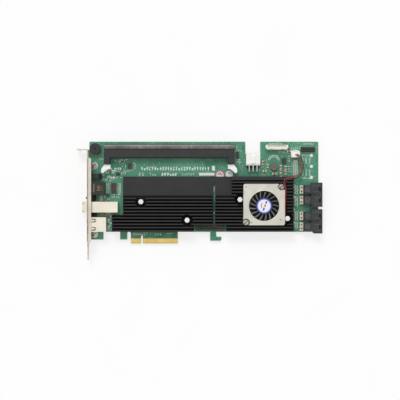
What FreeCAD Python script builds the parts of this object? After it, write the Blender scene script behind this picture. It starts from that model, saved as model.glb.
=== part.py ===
"""RAID controller card for a server: an expansion board with its bracket, ports, memory socket,
heatsink with fan, power inlet and drive connectors.

Frame: the origin is at the middle of the key notch, level with the tips of the edge contacts, on the
board's middle plane. +X runs along the board away from the bracket, +Y to the board's top edge, and
+Z out of the component side. All sizes are in millimetres.
"""
import FreeCAD, Part
import math
import os

V = FreeCAD.Vector

# ---------------------------------------------------------------- driving sizes
# Board
board_length = 250.0
board_left = -57.4
board_top = 111.15
board_bottom = 12.75
board_thickness = 1.57
board_corner = 1.0
left_tab_width = 15.4
tab_tip = 4.34
middle_tab_left = -23.8
middle_tab_width = 7.8
retainer_left = 74.5
retainer_leg = 6.65
retainer_reach = 12.3
retainer_tip = 3.04
retainer_toe = 4.36
retainer_chamfer = 1.2
power_notch_depth = 13.35
power_notch_margin = 0.5
spare_hole_radius = 1.2
spare_hole_pitch = 12.0
spare_hole_inset = 7.5
spare_hole_top = 96.2
spare_hole_count = 3

# Edge connector
edge_left = -12.15
edge_right = 39.15
edge_bevel_height = 1.2
edge_bevel_depth = 0.45
key_width = 1.9
key_height = 8.7
contact_pitch = 1.0
contact_width = 0.7
contact_length = 4.2
contact_thickness = 0.05
contact_first = 1.5
contact_tip_gap = 0.1
contacts_left_of_key = 11
contacts_right_of_key = 38

# Bracket
bracket_gap = 0.3
sheet_thickness = 0.86
bracket_width = 18.42
bracket_overhang = 2.48
bracket_top = 102.6
bracket_length = 120.02
bracket_tail_start = 1.1
bracket_tail_width = 10.19
bracket_tail_offset = 4.1
bracket_taper = 3.2
tail_chamfer = 1.4
flange_length = 11.43
flange_notch_radius = 2.21
flange_notch_depth = 5.0
flange_notch_inset = 5.6
lip_depth = 3.7
lip_top = 93.1
lip_chamfer = 1.4
bracket_bend_radius = 0.6
bracket_tab_length = 10.0
bracket_tab_width = 7.6
bracket_screw_inset = 5.4
bracket_screw_heights = (10.1, 84.9)
window_clearance = 0.3
small_screw_radius = 1.45
small_screw_clearance = 0.1
screw_fit = 0.02
screw_slot_width = 0.7
screw_slot_turn = 40.0
screw_reach = 0.6
lens_clearance = 0.15
arc_allowance = 0.01
small_screw_head_radius = 2.9
small_screw_head_height = 1.9

# Ports at the bracket
network_width = 15.6
network_length = 20.5
network_height = 13.2
network_y = 21.0
shield_thickness = 0.3
network_mouth_width = 11.9
network_mouth_height = 6.9
network_mouth_depth = 11.5
network_latch_width = 6.2
network_latch_height = 2.3
network_contact_count = 8
network_contact_pitch = 1.02
serial_width = 14.0
serial_length = 18.8
serial_height = 12.0
serial_y = 60.0
serial_mouth_width = 9.8
serial_mouth_height = 6.8
serial_mouth_depth = 12.0
serial_contact_count = 6
serial_contact_pitch = 1.02
serial_window_width = 6.6
serial_window_length = 6.4
serial_window_depth = 2.4
serial_window_setback = 2.0
jack_floor = 2.2
jack_recess = 0.4
jack_tail_setback = 3.0
jack_keyway_start = 1.0
serial_latch_width = 4.4
serial_latch_height = 1.2
serial_comb_width = 0.4
serial_comb_drop = 0.8
jack_contact_width = 0.4
jack_contact_thickness = 0.3
jack_contact_rise = 2.4
jack_contact_start = 1.6
jack_contact_flat = 1.6
jack_contact_slope = 5.2
tongue_length = 3.6
tongue_width = 3.0
tongue_slit = 0.5
tongue_spread_share = 0.55
cage_width = 11.5
cage_length = 32.8
cage_height = 10.5
cage_y = 39.8
cage_wall = 0.45
cage_nose_length = 5.5
cage_nose_width = 13.0
cage_nose_height = 11.2
receptacle_length = 18.0
receptacle_slot_height = 1.4
receptacle_slot_depth = 8.0
led_height = 7.4
lower_led_length = 4.6
lower_led_width = 6.0
lower_led_y = 49.8
upper_led_y = 73.4
upper_led_length = 10.8
upper_led_width = 5.4
upper_led_pitch = 3.2
led_lens_radius = 1.2
led_lens_reach = 2.0
led_pipe_width = 2.0
led_axis_height = 5.0
led_block_gap = 0.3
led_block_step = 2.8
buzzer_radius = 6.0
buzzer_height = 7.0
buzzer_hole_radius = 0.9
buzzer_hole_depth = 2.5
buzzer_pitch = 6.5
buzzer_x = -50.5
buzzer_y = 103.2

# Memory socket and its latches
socket_left = -40.8
socket_length = 141.6
socket_front = 93.0
socket_depth = 14.7
socket_height = 9.4
socket_rail_rise = 1.1
socket_rail_width = 3.6
socket_chamfer = 0.9
socket_arm_rise = 0.9
socket_key_offset = 10.1
socket_key_width = 1.8
socket_pocket_wall = 1.2
socket_arm_width = 6.5
socket_arm_length = 7.0
module_width = 133.35
module_thickness = 1.27
module_clearance = 0.25
module_height = 7.1
module_slot_depth = 5.2
latch_thickness = 3.2
latch_clearance = 0.35
latch_pivot_inset = 2.6
latch_pivot_setback = 2.2
latch_pin_radius = 1.0
latch_pin_clearance = 0.05
latch_pin_length = 0.9
latch_pin_end_gap = 0.2
latch_groove_gap = 0.1
latch_head = 2.0
latch_grip_extra = 1.0
latch_outline = ((2.4, -1.5), (5.0, -3.0), (4.2, -4.6), (5.0, -6.6), (1.4, -7.6), (-3.4, -11.6),
                 (-4.8, -11.4), (-5.6, -10.2), (-5.1, -6.4), (-2.4, -3.0))
latch_grip_outline = ((-0.6, -7.8), (-3.4, -11.6), (-4.8, -11.4), (-5.6, -10.2), (-5.2, -7.6), (-3.0, -6.6))
latch_groove_place = (5.0, -1.45)
latch_groove_size = (6.0, 8.9)

# Chips, heatsink and its push pins
chip_height = 1.9
pad_thickness = 0.3
processor_size = 34.0
expander_size = 31.0
expander_x = 24.0
expander_y = 36.0
substrate_height = 0.9
lid_margin = 3.0
pad_margin = 4.0
heatsink_base = 2.2
heatsink_height = 9.8
heatsink_left = -32.3
heatsink_step_x = -20.3
heatsink_step_y = 31.1
heatsink_inset = 27.4
heatsink_bottom = 13.0
heatsink_top = 73.0
low_plate_fan_gap = 12.4
low_plate_bottom = 52.2
rail_width = 4.0
fin_pitch = 3.5
fin_thickness = 1.4
fin_first_y = 14.2
slit_x = 78.8
slit_width = 2.2
slit_top = 66.3
header_notch_left = 56.9
header_notch_width = 35.2
header_notch_height = 7.7
pins_by_expander = ((-24.6, 9.6), (25.4, -10.3))
pins_by_fan = ((-25.9, 6.9), (25.4, -13.6))
pin_pocket_radius = 6.2
pin_shank_radius = 1.5
pin_hole_clearance = 0.15
pin_head_radius = 2.9
pin_head_height = 1.6
pin_head_level = 10.4
pin_barb_radius = 2.1
pin_barb_length = 2.0
pin_barb_width = 2.0
pin_split = 0.6
hole_side_count = 12

# Fan
fan_inset = 60.0
fan_y = 41.1
fan_width = 44.6
fan_offset_y = 1.5
fan_height = 9.8
fan_cover = 1.0
fan_base = 1.0
fan_wall = 1.6
fan_bore_radius = 16.3
fan_corner_cut = 4.4
fan_corner_radius = 2.0
fan_rim_width = 0.9
fan_rim_height = 0.35
fan_bay_clearance = 0.6
fan_wire_channel = 2.5
wire_notch_clearance = 0.4
outlet_width = 30.0
outlet_height = 5.0
outlet_step = 0.4
fan_screw_inset = 2.9
blade_count = 17
blade_tip_gap = 0.7
blade_thickness = 0.7
blade_sweep = 9.0
blade_pitch_angle = 9.0
blade_height = 6.6
blade_drop = 0.3
hub_radius = 9.3
hub_wall = 0.9
hub_ceiling = 1.4
hub_recess_side_count = 24
shaft_seat = 0.8
hub_height = 7.4
hub_clearance = 0.6
magnet_thickness = 0.9
magnet_side_count = 12
magnet_clearance = 0.3
stator_radius = 6.6
stator_height = 4.0
stator_pole_width = 3.4
stator_core_width = 7.2
stator_pole_step = 0.5
bearing_radius = 1.7
shaft_radius = 0.75
shaft_clearance = 0.04
shaft_end_gap = 0.8
bearing_cap = 0.5
bearing_tube_rise = 0.4
bearing_tube_wall = 0.7
label_thickness = 0.15
label_margin = 0.6

# Power inlet and board headers
inlet_gap_share = 0.38
power_front = 98.9
power_width = 15.2
power_depth = 13.8
power_height = 10.6
power_pitch = 4.2
power_socket = 3.4
power_socket_depth = 9.0
power_pin = 1.07
power_pin_setback = 5.4
power_pin_exit = 0.9
power_pin_reach = 2.0
power_ramp_width = 4.4
power_ramp_height = 1.4
power_shoulder = 1.6
header_pitch = 2.54
header_pin = 0.64
header_base = 2.5
header_pin_height = 8.4
corner_header_inset = 11.4
corner_header_y = 102.6
corner_header_columns = 6
bottom_header_x = 74.4
bottom_header_y = 16.9
bottom_header_columns = 12
wafer_gap_share = 0.43
wafer_y = 104.9
wafer_length = 24.4
wafer_width = 5.0
wafer_height = 5.6
wafer_wall = 0.7
wafer_floor = 1.2
wafer_end = 2.4
wafer_notch_width = 2.0
wafer_notch_offset = 6.0
wafer_pin_count = 15
wafer_pin_pitch = 1.25
wafer_pin = 0.4
fan_header_gap = 6.58
fan_header_y = 97.6
fan_plug_length = 9.2
fan_plug_width = 7.6
fan_plug_height = 7.0
fan_plug_cavity = 1.5
fan_plug_cavity_depth = 2.0
fan_plug_wire_offsets = (0.4, 2.4)
fan_plug_wire_setback = 0.9
fan_header_base = 2.2
fan_header_wall = 1.0
fan_plug_clearance = 0.3
wire_diameter = 1.1
wire_side_count = 5

# Drive connectors
sas_pair_centres = (53.2, 24.4)
sas_port_pitch = 11.6
sas_block_width = 26.4
sas_block_depth = 12.0
sas_overhang = 3.4
sas_height = 9.4
sas_mouth_width = 9.8
sas_mouth_height = 6.2
sas_mouth_depth = 9.0
sas_latch_width = 4.6
sas_latch_length = 2.4
sas_latch_inset = 1.6
sas_tongue_length = 2.2
sas_groove = 1.0
sas_groove_setback = 3.0
sas_small_chamfer = 0.5
sas_large_chamfer = 3.0
sas_tongue_height = 1.3
wafer_body_length = 8.3
wafer_body_width = 9.0
wafer_body_height = 8.4
wafer_body_slope = 2.0
groove_margin = 0.8
groove_width = 0.7
groove_depth = 0.6
groove_pitch = 2.0
organiser_length = 3.6
organiser_height = 3.2
organiser_socket = 1.5
organiser_socket_offset = 2.2
organiser_floor = 1.0

# Small board parts: plan sizes, and places from the edge or neighbour that each group follows
inductor_width = 6.9
inductor_height = 4.0
inductor_base = 1.2
inductor_drum_side_count = 8
inductor_place = (15.4, 10.5)
regulator_size = (4.8, 6.2, 1.8)
regulator_place = (26.5, 16.9)
driver_width = 5.6
driver_length = 10.7
driver_height = 1.9
driver_stand_off = 0.3
driver_lead_reach = 2.0
driver_lead_width = 0.44
driver_lead_pitch = 1.27
driver_leads_a_side = 8
driver_x = -30.6
driver_y = 60.55
power_capacitor_size = (3.6, 2.4, 1.9)
power_capacitor_places = ((8.5, 11.6, 1), (22.8, 10.4, 1), (22.8, 5.6, 1), (22.8, 1.9, 1),
                          (28.2, 9.6, 1), (28.2, 4.4, 1), (16.0, 3.2, 0), (3.0, 15.2, 1), (5.2, 6.0, 0))
header_capacitor_place = (-6.6, 3.4)
chip_capacitor_size = (2.0, 1.25, 0.9)
port_capacitor_places = ((19.4, 81.0, 0), (22.8, 81.0, 0), (19.4, 77.6, 0), (25.8, 78.4, 1), (28.6, 80.6, 1),
                         (33.0, 81.4, 0), (21.4, 72.6, 0), (25.6, 71.6, 0), (21.0, 32.6, 1), (21.0, 25.0, 1),
                         (21.0, 17.4, 1))
socket_capacitor_place = (2.6, 104.4)
drive_capacitor_inset = 27.0
drive_capacitor_heights = (62.6, 50.0, 36.4, 22.0)
chip_resistor_size = (1.6, 0.8, 0.5)
port_resistor_places = ((23.4, 28.8, 1), (23.4, 21.2, 1), (26.8, 50.2, 0), (31.2, 50.2, 0), (12.8, 50.6, 0),
                        (12.8, 47.8, 0))
inlet_resistor_setback = 4.0
inlet_resistor_heights = (84.2, 79.4)
drive_resistor_inset = 24.0
drive_resistor_heights = (62.0, 58.8, 55.6, 49.6, 46.4, 43.2, 33.4, 30.2, 27.0, 21.4, 18.2)
port_chips = ((44.2, 84.5, 4.8, 5.4, 1.2), (31.4, 75.8, 4.4, 3.2, 1.0), (20.4, 52.6, 3.2, 2.4, 1.0))
socket_chip_size = (3.0, 7.4, 1.2)
socket_chip_gap_share = 0.23
socket_chip_y = 96.9

# Solder side
joint_width = 1.5
joint_height = 1.1

# ---------------------------------------------------------------- levels and edges from them
component_face = board_thickness / 2
solder_face = -board_thickness / 2
board_right = board_left + board_length
bracket_inner = board_left - bracket_gap
bracket_outer = bracket_inner - sheet_thickness
bracket_low = solder_face - bracket_overhang
bracket_high = bracket_low + bracket_width
bracket_screw_x = board_left + bracket_screw_inset
heatsink_floor = component_face + chip_height + pad_thickness
base_top = heatsink_floor + heatsink_base
fin_top = heatsink_floor + heatsink_height
fan_floor = base_top
fan_top = fan_floor + fan_height
socket_right = socket_left + socket_length
bearing_floor = fan_floor + bearing_cap
bearing_top = fan_floor + fan_base + bearing_tube_rise + stator_height
led_left = bracket_inner + led_block_gap
led_level = component_face + led_axis_height
heatsink_right = board_right - heatsink_inset
fan_x = board_right - fan_inset
low_plate_right = fan_x - fan_width / 2 - low_plate_fan_gap
corner_header_x = board_right - corner_header_inset
corner_header_left = corner_header_x - corner_header_columns * header_pitch / 2
top_edge_spare = corner_header_left - socket_right - power_width - wafer_length
power_left = socket_right + inlet_gap_share * top_edge_spare
power_right = power_left + power_width
wafer_x = corner_header_left - wafer_gap_share * top_edge_spare - wafer_length / 2
fan_header_x = corner_header_left - fan_header_gap
pin_centres = ([(expander_x + dx, expander_y + dy) for dx, dy in pins_by_expander]
               + [(fan_x + dx, fan_y + dy) for dx, dy in pins_by_fan])


# ---------------------------------------------------------------- forms shared by the pieces
def block(x0, x1, y0, y1, z0, z1):
    """Rectangular solid between two corners."""
    return Part.makeBox(x1 - x0, y1 - y0, z1 - z0, V(x0, y0, z0))


def post(x, y, radius, z0, z1):
    """Upright cylinder."""
    return Part.makeCylinder(radius, z1 - z0, V(x, y, z0))


def rounded_wire(corners, place):
    """Closed wire through corners (u, v) or (u, v, radius); a radius rounds its corner with an arc."""
    ends = []
    count = len(corners)
    for index, corner in enumerate(corners):
        here = V(corner[0], corner[1], 0)
        before = V(*corners[index - 1][:2], 0) - here
        after = V(*corners[(index + 1) % count][:2], 0) - here
        radius = corner[2] if len(corner) > 2 else 0.0
        if radius == 0.0:
            ends.append((here, None, here))
            continue
        before.normalize()
        after.normalize()
        half = before.getAngle(after) / 2
        cut = radius / math.tan(half)
        middle = before + after
        middle.normalize()
        reach = radius / math.sin(half) - radius
        ends.append((here + before * cut, here + middle * reach, here + after * cut))
    edges = []
    for index, (start, middle, end) in enumerate(ends):
        if middle is not None:
            edges.append(Part.Arc(place(start), place(middle), place(end)).toShape())
        following = ends[(index + 1) % count][0]
        if (following - end).Length > 1e-6:
            edges.append(Part.LineSegment(place(end), place(following)).toShape())
    return Part.Wire(edges)


def prism(axis, low, high, corners):
    """Solid with the outline of the corners, swept along an axis from low to high."""
    places = {"X": lambda p: V(low, p.x, p.y),
              "Y": lambda p: V(p.x, low, p.y),
              "Z": lambda p: V(p.x, p.y, low)}
    sweeps = {"X": V(high - low, 0, 0), "Y": V(0, high - low, 0), "Z": V(0, 0, high - low)}
    return Part.Face(rounded_wire(corners, places[axis])).extrude(sweeps[axis])


def rectangle(u0, u1, v0, v1, radius=0.0):
    """Corners of a rectangle, all rounded alike."""
    return [(u0, v0, radius), (u1, v0, radius), (u1, v1, radius), (u0, v1, radius)]


def fused(shapes):
    """One solid from several, with the seams between their flat faces removed."""
    return shapes[0].multiFuse(shapes[1:]).removeSplitter()


def row(count, pitch):
    """Offsets of a row of equal steps about its middle."""
    return [(index - (count - 1) / 2) * pitch for index in range(count)]


def centred(x, y, length, width, z0, z1):
    """Rectangular solid about a plan position."""
    return block(x - length / 2, x + length / 2, y - width / 2, y + width / 2, z0, z1)


def ring_corners(count, radius, x, y, turn=0.0):
    """Corners of a regular outline about a plan position."""
    angles = [math.radians(turn + 360.0 * step / count) for step in range(count)]
    return [(x + radius * math.cos(angle), y + radius * math.sin(angle)) for angle in angles]


def flat_sided_hole(x, y, radius, z0, z1):
    """Cutter for a small hole or a pocket, whose flats stand a radius away from its axis."""
    half_turn = math.pi / hole_side_count
    return prism("Z", z0, z1, ring_corners(hole_side_count, radius / math.cos(half_turn), x, y,
                                           math.degrees(half_turn)))


def faceted(corners, faces):
    """Solid with flat faces, each given by the numbers of its corners."""
    sides = []
    for face in faces:
        loop = [corners[index] for index in face]
        sides.append(Part.Face(Part.makePolygon(loop + loop[:1])))
    return Part.makeSolid(Part.makeShell(sides))


# ---------------------------------------------------------------- board and edge contacts
def circuit_board():
    """Board with its edge connector, two lower tabs, retainer hook and power notch."""
    notch_left = power_left - power_notch_margin
    notch_right = power_left + power_width + power_notch_margin
    notch_floor = board_top - power_notch_depth
    slot_left = middle_tab_left + middle_tab_width
    slot_radius = (edge_left - slot_left) / 2 - arc_allowance
    hook_right = retainer_left + retainer_reach
    outline = [
        (board_left, tab_tip), (board_left + left_tab_width, tab_tip),
        (board_left + left_tab_width, board_bottom), (middle_tab_left, board_bottom),
        (middle_tab_left, tab_tip), (slot_left, tab_tip),
        (slot_left, board_bottom, slot_radius), (edge_left, board_bottom, slot_radius),
        (edge_left, 0), (edge_right, 0), (edge_right, board_bottom),
        (retainer_left, board_bottom), (retainer_left, retainer_tip),
        (hook_right - retainer_chamfer, retainer_tip), (hook_right, retainer_tip + retainer_chamfer),
        (hook_right, retainer_tip + retainer_toe),
        (retainer_left + retainer_leg, retainer_tip + retainer_toe, retainer_chamfer),
        (retainer_left + retainer_leg, board_bottom),
        (board_right, board_bottom, board_corner), (board_right, board_top, board_corner),
        (notch_right, board_top), (notch_right, notch_floor),
        (notch_left, notch_floor), (notch_left, board_top),
        (board_left, board_top, board_corner),
    ]
    board = prism("Z", solder_face, component_face, outline)
    key = rectangle(-key_width / 2, key_width / 2, -1, key_height)
    key[2] = (key_width / 2, key_height, key_width / 2 - arc_allowance)
    key[3] = (-key_width / 2, key_height, key_width / 2 - arc_allowance)
    cuts = [prism("Z", solder_face - 1, component_face + 1, key)]
    for side in (-1, 1):
        bevel = [(0, side * component_face), (edge_bevel_height, side * component_face),
                 (0, side * (component_face - edge_bevel_depth))]
        cuts.append(prism("X", edge_left - 1, edge_right + 1, bevel))
    holes = [(bracket_screw_x, y, small_screw_radius + small_screw_clearance) for y in bracket_screw_heights]
    holes += [(board_right - spare_hole_inset, spare_hole_top - step * spare_hole_pitch, spare_hole_radius)
              for step in range(spare_hole_count)]
    cuts += [post(x, y, radius, solder_face - 1, component_face + 1) for x, y, radius in holes]
    cuts += [flat_sided_hole(x, y, pin_shank_radius + pin_hole_clearance, solder_face - 1, component_face + 1)
             for x, y in pin_centres]
    return board.cut(cuts)


def edge_contacts():
    """Gold contact strips on both faces of the edge connector."""
    places = [-contact_first - step * contact_pitch for step in range(contacts_left_of_key)]
    places += [contact_first + step * contact_pitch for step in range(contacts_right_of_key)]
    low = edge_bevel_height + contact_tip_gap
    strips = []
    for x in places:
        left = x - contact_width / 2
        right = x + contact_width / 2
        strips.append(block(left, right, low, low + contact_length, component_face,
                            component_face + contact_thickness))
        strips.append(block(left, right, low, low + contact_length, solder_face - contact_thickness,
                            solder_face))
    return Part.makeCompound(strips)


# ---------------------------------------------------------------- bracket
def bracket_window(y, width, low, high):
    """Cutter for a port's window in the bracket."""
    return block(bracket_outer - 1, bracket_inner + 0.01, y - width / 2 - window_clearance,
                 y + width / 2 + window_clearance, low - window_clearance, high + window_clearance)


def mounting_bracket():
    """Folded steel bracket: plate, top flange with its screw notch, long lip, tail and two tabs."""
    tail_end = bracket_top - bracket_length
    tail_low = bracket_low + bracket_tail_offset
    tail_high = tail_low + bracket_tail_width
    fold = [(bracket_outer - flange_length, bracket_top),
            (bracket_inner, bracket_top, sheet_thickness + bracket_bend_radius),
            (bracket_inner, bracket_tail_start), (bracket_outer, bracket_tail_start),
            (bracket_outer, bracket_top - sheet_thickness, bracket_bend_radius),
            (bracket_outer - flange_length, bracket_top - sheet_thickness)]
    plate = prism("Z", bracket_low, bracket_high, fold)
    tail = prism("X", bracket_outer, bracket_inner, [
        (bracket_tail_start, bracket_low), (bracket_tail_start, bracket_high),
        (bracket_tail_start - bracket_taper, tail_high), (tail_end + tail_chamfer, tail_high),
        (tail_end, tail_high - tail_chamfer), (tail_end, tail_low + tail_chamfer),
        (tail_end + tail_chamfer, tail_low), (bracket_tail_start - bracket_taper, tail_low)])
    lip_end = bracket_inner + lip_depth
    lip = prism("Z", bracket_high - sheet_thickness, bracket_high, [
        (bracket_outer, bracket_tail_start), (lip_end - lip_chamfer, bracket_tail_start),
        (lip_end, bracket_tail_start + lip_chamfer), (lip_end, lip_top - lip_chamfer),
        (lip_end - lip_chamfer, lip_top), (bracket_outer, lip_top)])
    pieces = [plate, tail, lip]
    for y in bracket_screw_heights:
        tab_end = bracket_inner + bracket_tab_length
        half = bracket_tab_width / 2
        pieces.append(prism("Z", solder_face - sheet_thickness, solder_face, [
            (bracket_outer, y - half), (tab_end - lip_chamfer, y - half), (tab_end, y - half + lip_chamfer),
            (tab_end, y + half - lip_chamfer), (tab_end - lip_chamfer, y + half), (bracket_outer, y + half)]))
    bracket = fused(pieces)
    notch_x = bracket_outer - flange_notch_inset
    notch_end = bracket_low + flange_notch_depth
    notch = prism("Y", bracket_top - 2 * sheet_thickness, bracket_top + 1, [
        (notch_x - flange_notch_radius, bracket_low - 1), (notch_x + flange_notch_radius, bracket_low - 1),
        (notch_x + flange_notch_radius, notch_end, flange_notch_radius - arc_allowance),
        (notch_x - flange_notch_radius, notch_end, flange_notch_radius - arc_allowance)])
    cuts = [notch]
    cuts.append(bracket_window(network_y, network_width, component_face, component_face + network_height))
    cuts.append(bracket_window(serial_y, serial_width, component_face, component_face + serial_height))
    cuts.append(bracket_window(cage_y, cage_nose_width, component_face, component_face + cage_nose_height))
    cuts.append(Part.makeCylinder(led_lens_radius + lens_clearance, 3 * sheet_thickness,
                                  V(bracket_outer - sheet_thickness, lower_led_y, led_level), V(1, 0, 0)))
    cuts += [block(bracket_outer - 1, bracket_inner + 1, y - led_pipe_width / 2 - lens_clearance,
                   y + led_pipe_width / 2 + lens_clearance, led_level - led_pipe_width / 2 - lens_clearance,
                   led_level + led_pipe_width / 2 + lens_clearance)
             for y in led_pipe_places()]
    cuts += [post(bracket_screw_x, y, small_screw_radius + screw_fit, solder_face - 2, solder_face + 0.5)
             for y in bracket_screw_heights]
    return bracket.cut(cuts)


def slotted_screw(x, y, seat, tip):
    """Upright screw: round slotted head, and an eight-sided core in place of the threaded shank."""
    top = seat + small_screw_head_height
    head = post(x, y, small_screw_head_radius, seat, top)
    core = prism("Z", tip, seat, ring_corners(8, small_screw_radius, x, y))
    slot = centred(x, y, 3 * small_screw_head_radius, screw_slot_width, top - small_screw_head_height / 2,
                   top + 1)
    slot.rotate(V(x, y, 0), V(0, 0, 1), screw_slot_turn)
    return fused([head, core]).cut(slot)


def bracket_screws():
    """Two screws from the component side into the bracket's tabs."""
    tip = solder_face - sheet_thickness - screw_reach
    return Part.makeCompound([slotted_screw(bracket_screw_x, y, component_face, tip)
                              for y in bracket_screw_heights])


# ---------------------------------------------------------------- ports at the bracket
def jack_contacts(y, count, pitch, mouth_front, floor):
    """Springy contact wires: each lies on the mouth's floor, then slopes up towards the back."""
    wires = []
    for offset in row(count, pitch):
        start = mouth_front + jack_contact_start
        bend = start + jack_contact_flat
        end = bend + jack_contact_slope
        wires.append(prism("Y", y + offset - jack_contact_width / 2, y + offset + jack_contact_width / 2, [
            (start, floor), (bend, floor), (end, floor + jack_contact_rise - jack_contact_thickness),
            (end, floor + jack_contact_rise), (bend, floor + jack_contact_thickness),
            (start, floor + jack_contact_thickness)]))
    return Part.makeCompound(wires)


def network_jack_shield():
    """Folded steel shield, open at the mouth and the board, with two spring tongues on top."""
    top = component_face + network_height
    back = bracket_outer + network_length
    half = network_width / 2
    shell = block(bracket_outer, back, network_y - half, network_y + half, component_face, top)
    hollow = block(bracket_outer - 1, back - shield_thickness, network_y - half + shield_thickness,
                   network_y + half - shield_thickness, component_face - 1, top - shield_thickness)
    cuts = [hollow]
    root = bracket_inner + lip_depth + 0.4
    tip = root + tongue_length
    for y in row(2, network_width * tongue_spread_share):
        outer = centred((root + tip) / 2, network_y + y, tongue_length, tongue_width, top - 1, top + 1)
        inner = centred((root + tip) / 2 - tongue_slit, network_y + y, tongue_length,
                        tongue_width - 2 * tongue_slit,
                        top - 2, top + 2)
        cuts.append(outer.cut(inner))
    return shell.cut(cuts)


def network_jack_body():
    """Moulded insert with the plug's mouth and the keyway for the plug's latch."""
    low = component_face
    top = component_face + network_height - shield_thickness
    half = network_width / 2 - shield_thickness
    back = bracket_outer + network_length - shield_thickness
    body = block(bracket_outer + jack_recess, back, network_y - half, network_y + half, low, top)
    mouth_floor = low + jack_floor
    mouth = block(bracket_outer - 1, bracket_outer + network_mouth_depth,
                  network_y - network_mouth_width / 2, network_y + network_mouth_width / 2,
                  mouth_floor, mouth_floor + network_mouth_height)
    keyway = block(bracket_outer - 1, bracket_outer + network_mouth_depth,
                   network_y - network_latch_width / 2, network_y + network_latch_width / 2,
                   mouth_floor + jack_keyway_start, mouth_floor + network_mouth_height + network_latch_height)
    return body.cut([mouth, keyway])


def network_jack_contacts():
    """Eight contacts in the network jack."""
    return jack_contacts(network_y, network_contact_count, network_contact_pitch, bracket_outer + jack_recess,
                         component_face + jack_floor)


def serial_jack_body():
    """Black moulded jack, with a window in its roof over the contacts."""
    low = component_face
    top = component_face + serial_height
    half = serial_width / 2
    back = bracket_outer + serial_length
    body = block(bracket_outer, back, serial_y - half, serial_y + half, low, top)
    mouth_floor = low + jack_floor
    mouth = block(bracket_outer - 1, bracket_outer + serial_mouth_depth,
                  serial_y - serial_mouth_width / 2, serial_y + serial_mouth_width / 2,
                  mouth_floor, mouth_floor + serial_mouth_height)
    keyway = block(bracket_outer - 1, bracket_outer + serial_mouth_depth, serial_y - serial_latch_width / 2,
                   serial_y + serial_latch_width / 2, mouth_floor + jack_keyway_start,
                   mouth_floor + serial_mouth_height + serial_latch_height)
    window_x = back - serial_window_setback - serial_window_length / 2
    window = centred(window_x, serial_y, serial_window_length, serial_window_width,
                     top - serial_window_depth, top + 1)
    combs = [centred(window_x, serial_y + offset, serial_window_length, serial_comb_width,
                     top - serial_window_depth, top - serial_comb_drop)
             for offset in row(serial_contact_count - 1, serial_contact_pitch)]
    return fused([body.cut([mouth, keyway, window])] + combs)


def serial_jack_contacts():
    """Six contacts of the serial jack: the springs in its mouth and their bars in the roof window."""
    springs = jack_contacts(serial_y, serial_contact_count, serial_contact_pitch, bracket_outer,
                            component_face + jack_floor)
    window_x = bracket_outer + serial_length - serial_window_setback - serial_window_length / 2
    level = component_face + serial_height - serial_window_depth
    bars = [centred(window_x, serial_y + offset, serial_window_length, jack_contact_width,
                    level, level + jack_contact_thickness)
            for offset in row(serial_contact_count, serial_contact_pitch)]
    return Part.makeCompound(springs.Solids + bars)


def external_sas_cage():
    """Sheet-metal cage of the external drive port, with its wider nose through the bracket."""
    back = bracket_outer + cage_length
    body = block(bracket_outer, back, cage_y - cage_width / 2, cage_y + cage_width / 2, component_face,
                 component_face + cage_height)
    nose = block(bracket_outer - cage_nose_length, bracket_inner + 0.5, cage_y - cage_nose_width / 2,
                 cage_y + cage_nose_width / 2, component_face, component_face + cage_nose_height)
    hollow = block(bracket_outer - cage_nose_length - 1, back - cage_wall,
                   cage_y - cage_width / 2 + cage_wall, cage_y + cage_width / 2 - cage_wall,
                   component_face + cage_wall, component_face + cage_height - cage_wall)
    flare = block(bracket_outer - cage_nose_length - 1, bracket_outer - 1.0,
                  cage_y - cage_nose_width / 2 + cage_wall, cage_y + cage_nose_width / 2 - cage_wall,
                  component_face + cage_wall, component_face + cage_nose_height - cage_wall)
    return fused([body, nose]).cut([hollow, flare])


def external_sas_receptacle():
    """Moulded receptacle at the back of the cage, with two slots for the plug's edge cards."""
    back = bracket_outer + cage_length - cage_wall
    low = component_face + cage_wall
    top = component_face + cage_height - cage_wall
    half = cage_width / 2 - cage_wall
    body = block(back - receptacle_length, back, cage_y - half, cage_y + half, low, top)
    slots = []
    for level in (low + (top - low) * 0.3, low + (top - low) * 0.7):
        slots.append(block(back - receptacle_length - 1, back - receptacle_length + receptacle_slot_depth,
                           cage_y - half + 1.2, cage_y + half - 1.2, level - receptacle_slot_height / 2,
                           level + receptacle_slot_height / 2))
    return body.cut(slots)


def led_block(y, width, length, height):
    """Right-angle lamp holder: a block with a lower step at its back."""
    return prism("Y", y - width / 2, y + width / 2, [
        (led_left, component_face), (led_left + length + led_block_step, component_face),
        (led_left + length + led_block_step, component_face + height / 2),
        (led_left + length, component_face + height), (led_left, component_face + height)])


def lower_led_block():
    """Lamp holder beside the serial jack."""
    return led_block(lower_led_y, lower_led_width, lower_led_length, led_height)


def upper_led_block():
    """Longer lamp holder with two lamps."""
    return led_block(upper_led_y, upper_led_width, upper_led_length, led_height)


def led_pipe_places():
    """Height along the bracket of each of the upper holder's two square light pipes."""
    return [upper_led_y + offset for offset in row(2, upper_led_pitch)]


def led_lenses():
    """Lamp lenses through the bracket: the lower one is round and stands out, the upper two are flush."""
    tip = bracket_outer - led_lens_reach
    half = led_pipe_width / 2
    lenses = [Part.makeCylinder(led_lens_radius, led_left - tip, V(tip, lower_led_y, led_level), V(1, 0, 0))]
    lenses += [block(bracket_outer, led_left, y - half, y + half, led_level - half, led_level + half)
               for y in led_pipe_places()]
    return Part.makeCompound(lenses)


def buzzer():
    """Round black sounder with its small sound hole."""
    top = component_face + buzzer_height
    body = post(buzzer_x, buzzer_y, buzzer_radius, component_face, top)
    return body.cut(flat_sided_hole(buzzer_x, buzzer_y, buzzer_hole_radius, top - buzzer_hole_depth, top + 1))


# ---------------------------------------------------------------- memory socket
def latch_pivot(side):
    """Plan position of a latch's pivot: side is -1 at the left end and 1 at the right."""
    end = socket_left if side < 0 else socket_right
    return end - side * latch_pivot_inset, socket_front - socket_arm_length + latch_pivot_setback


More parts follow.
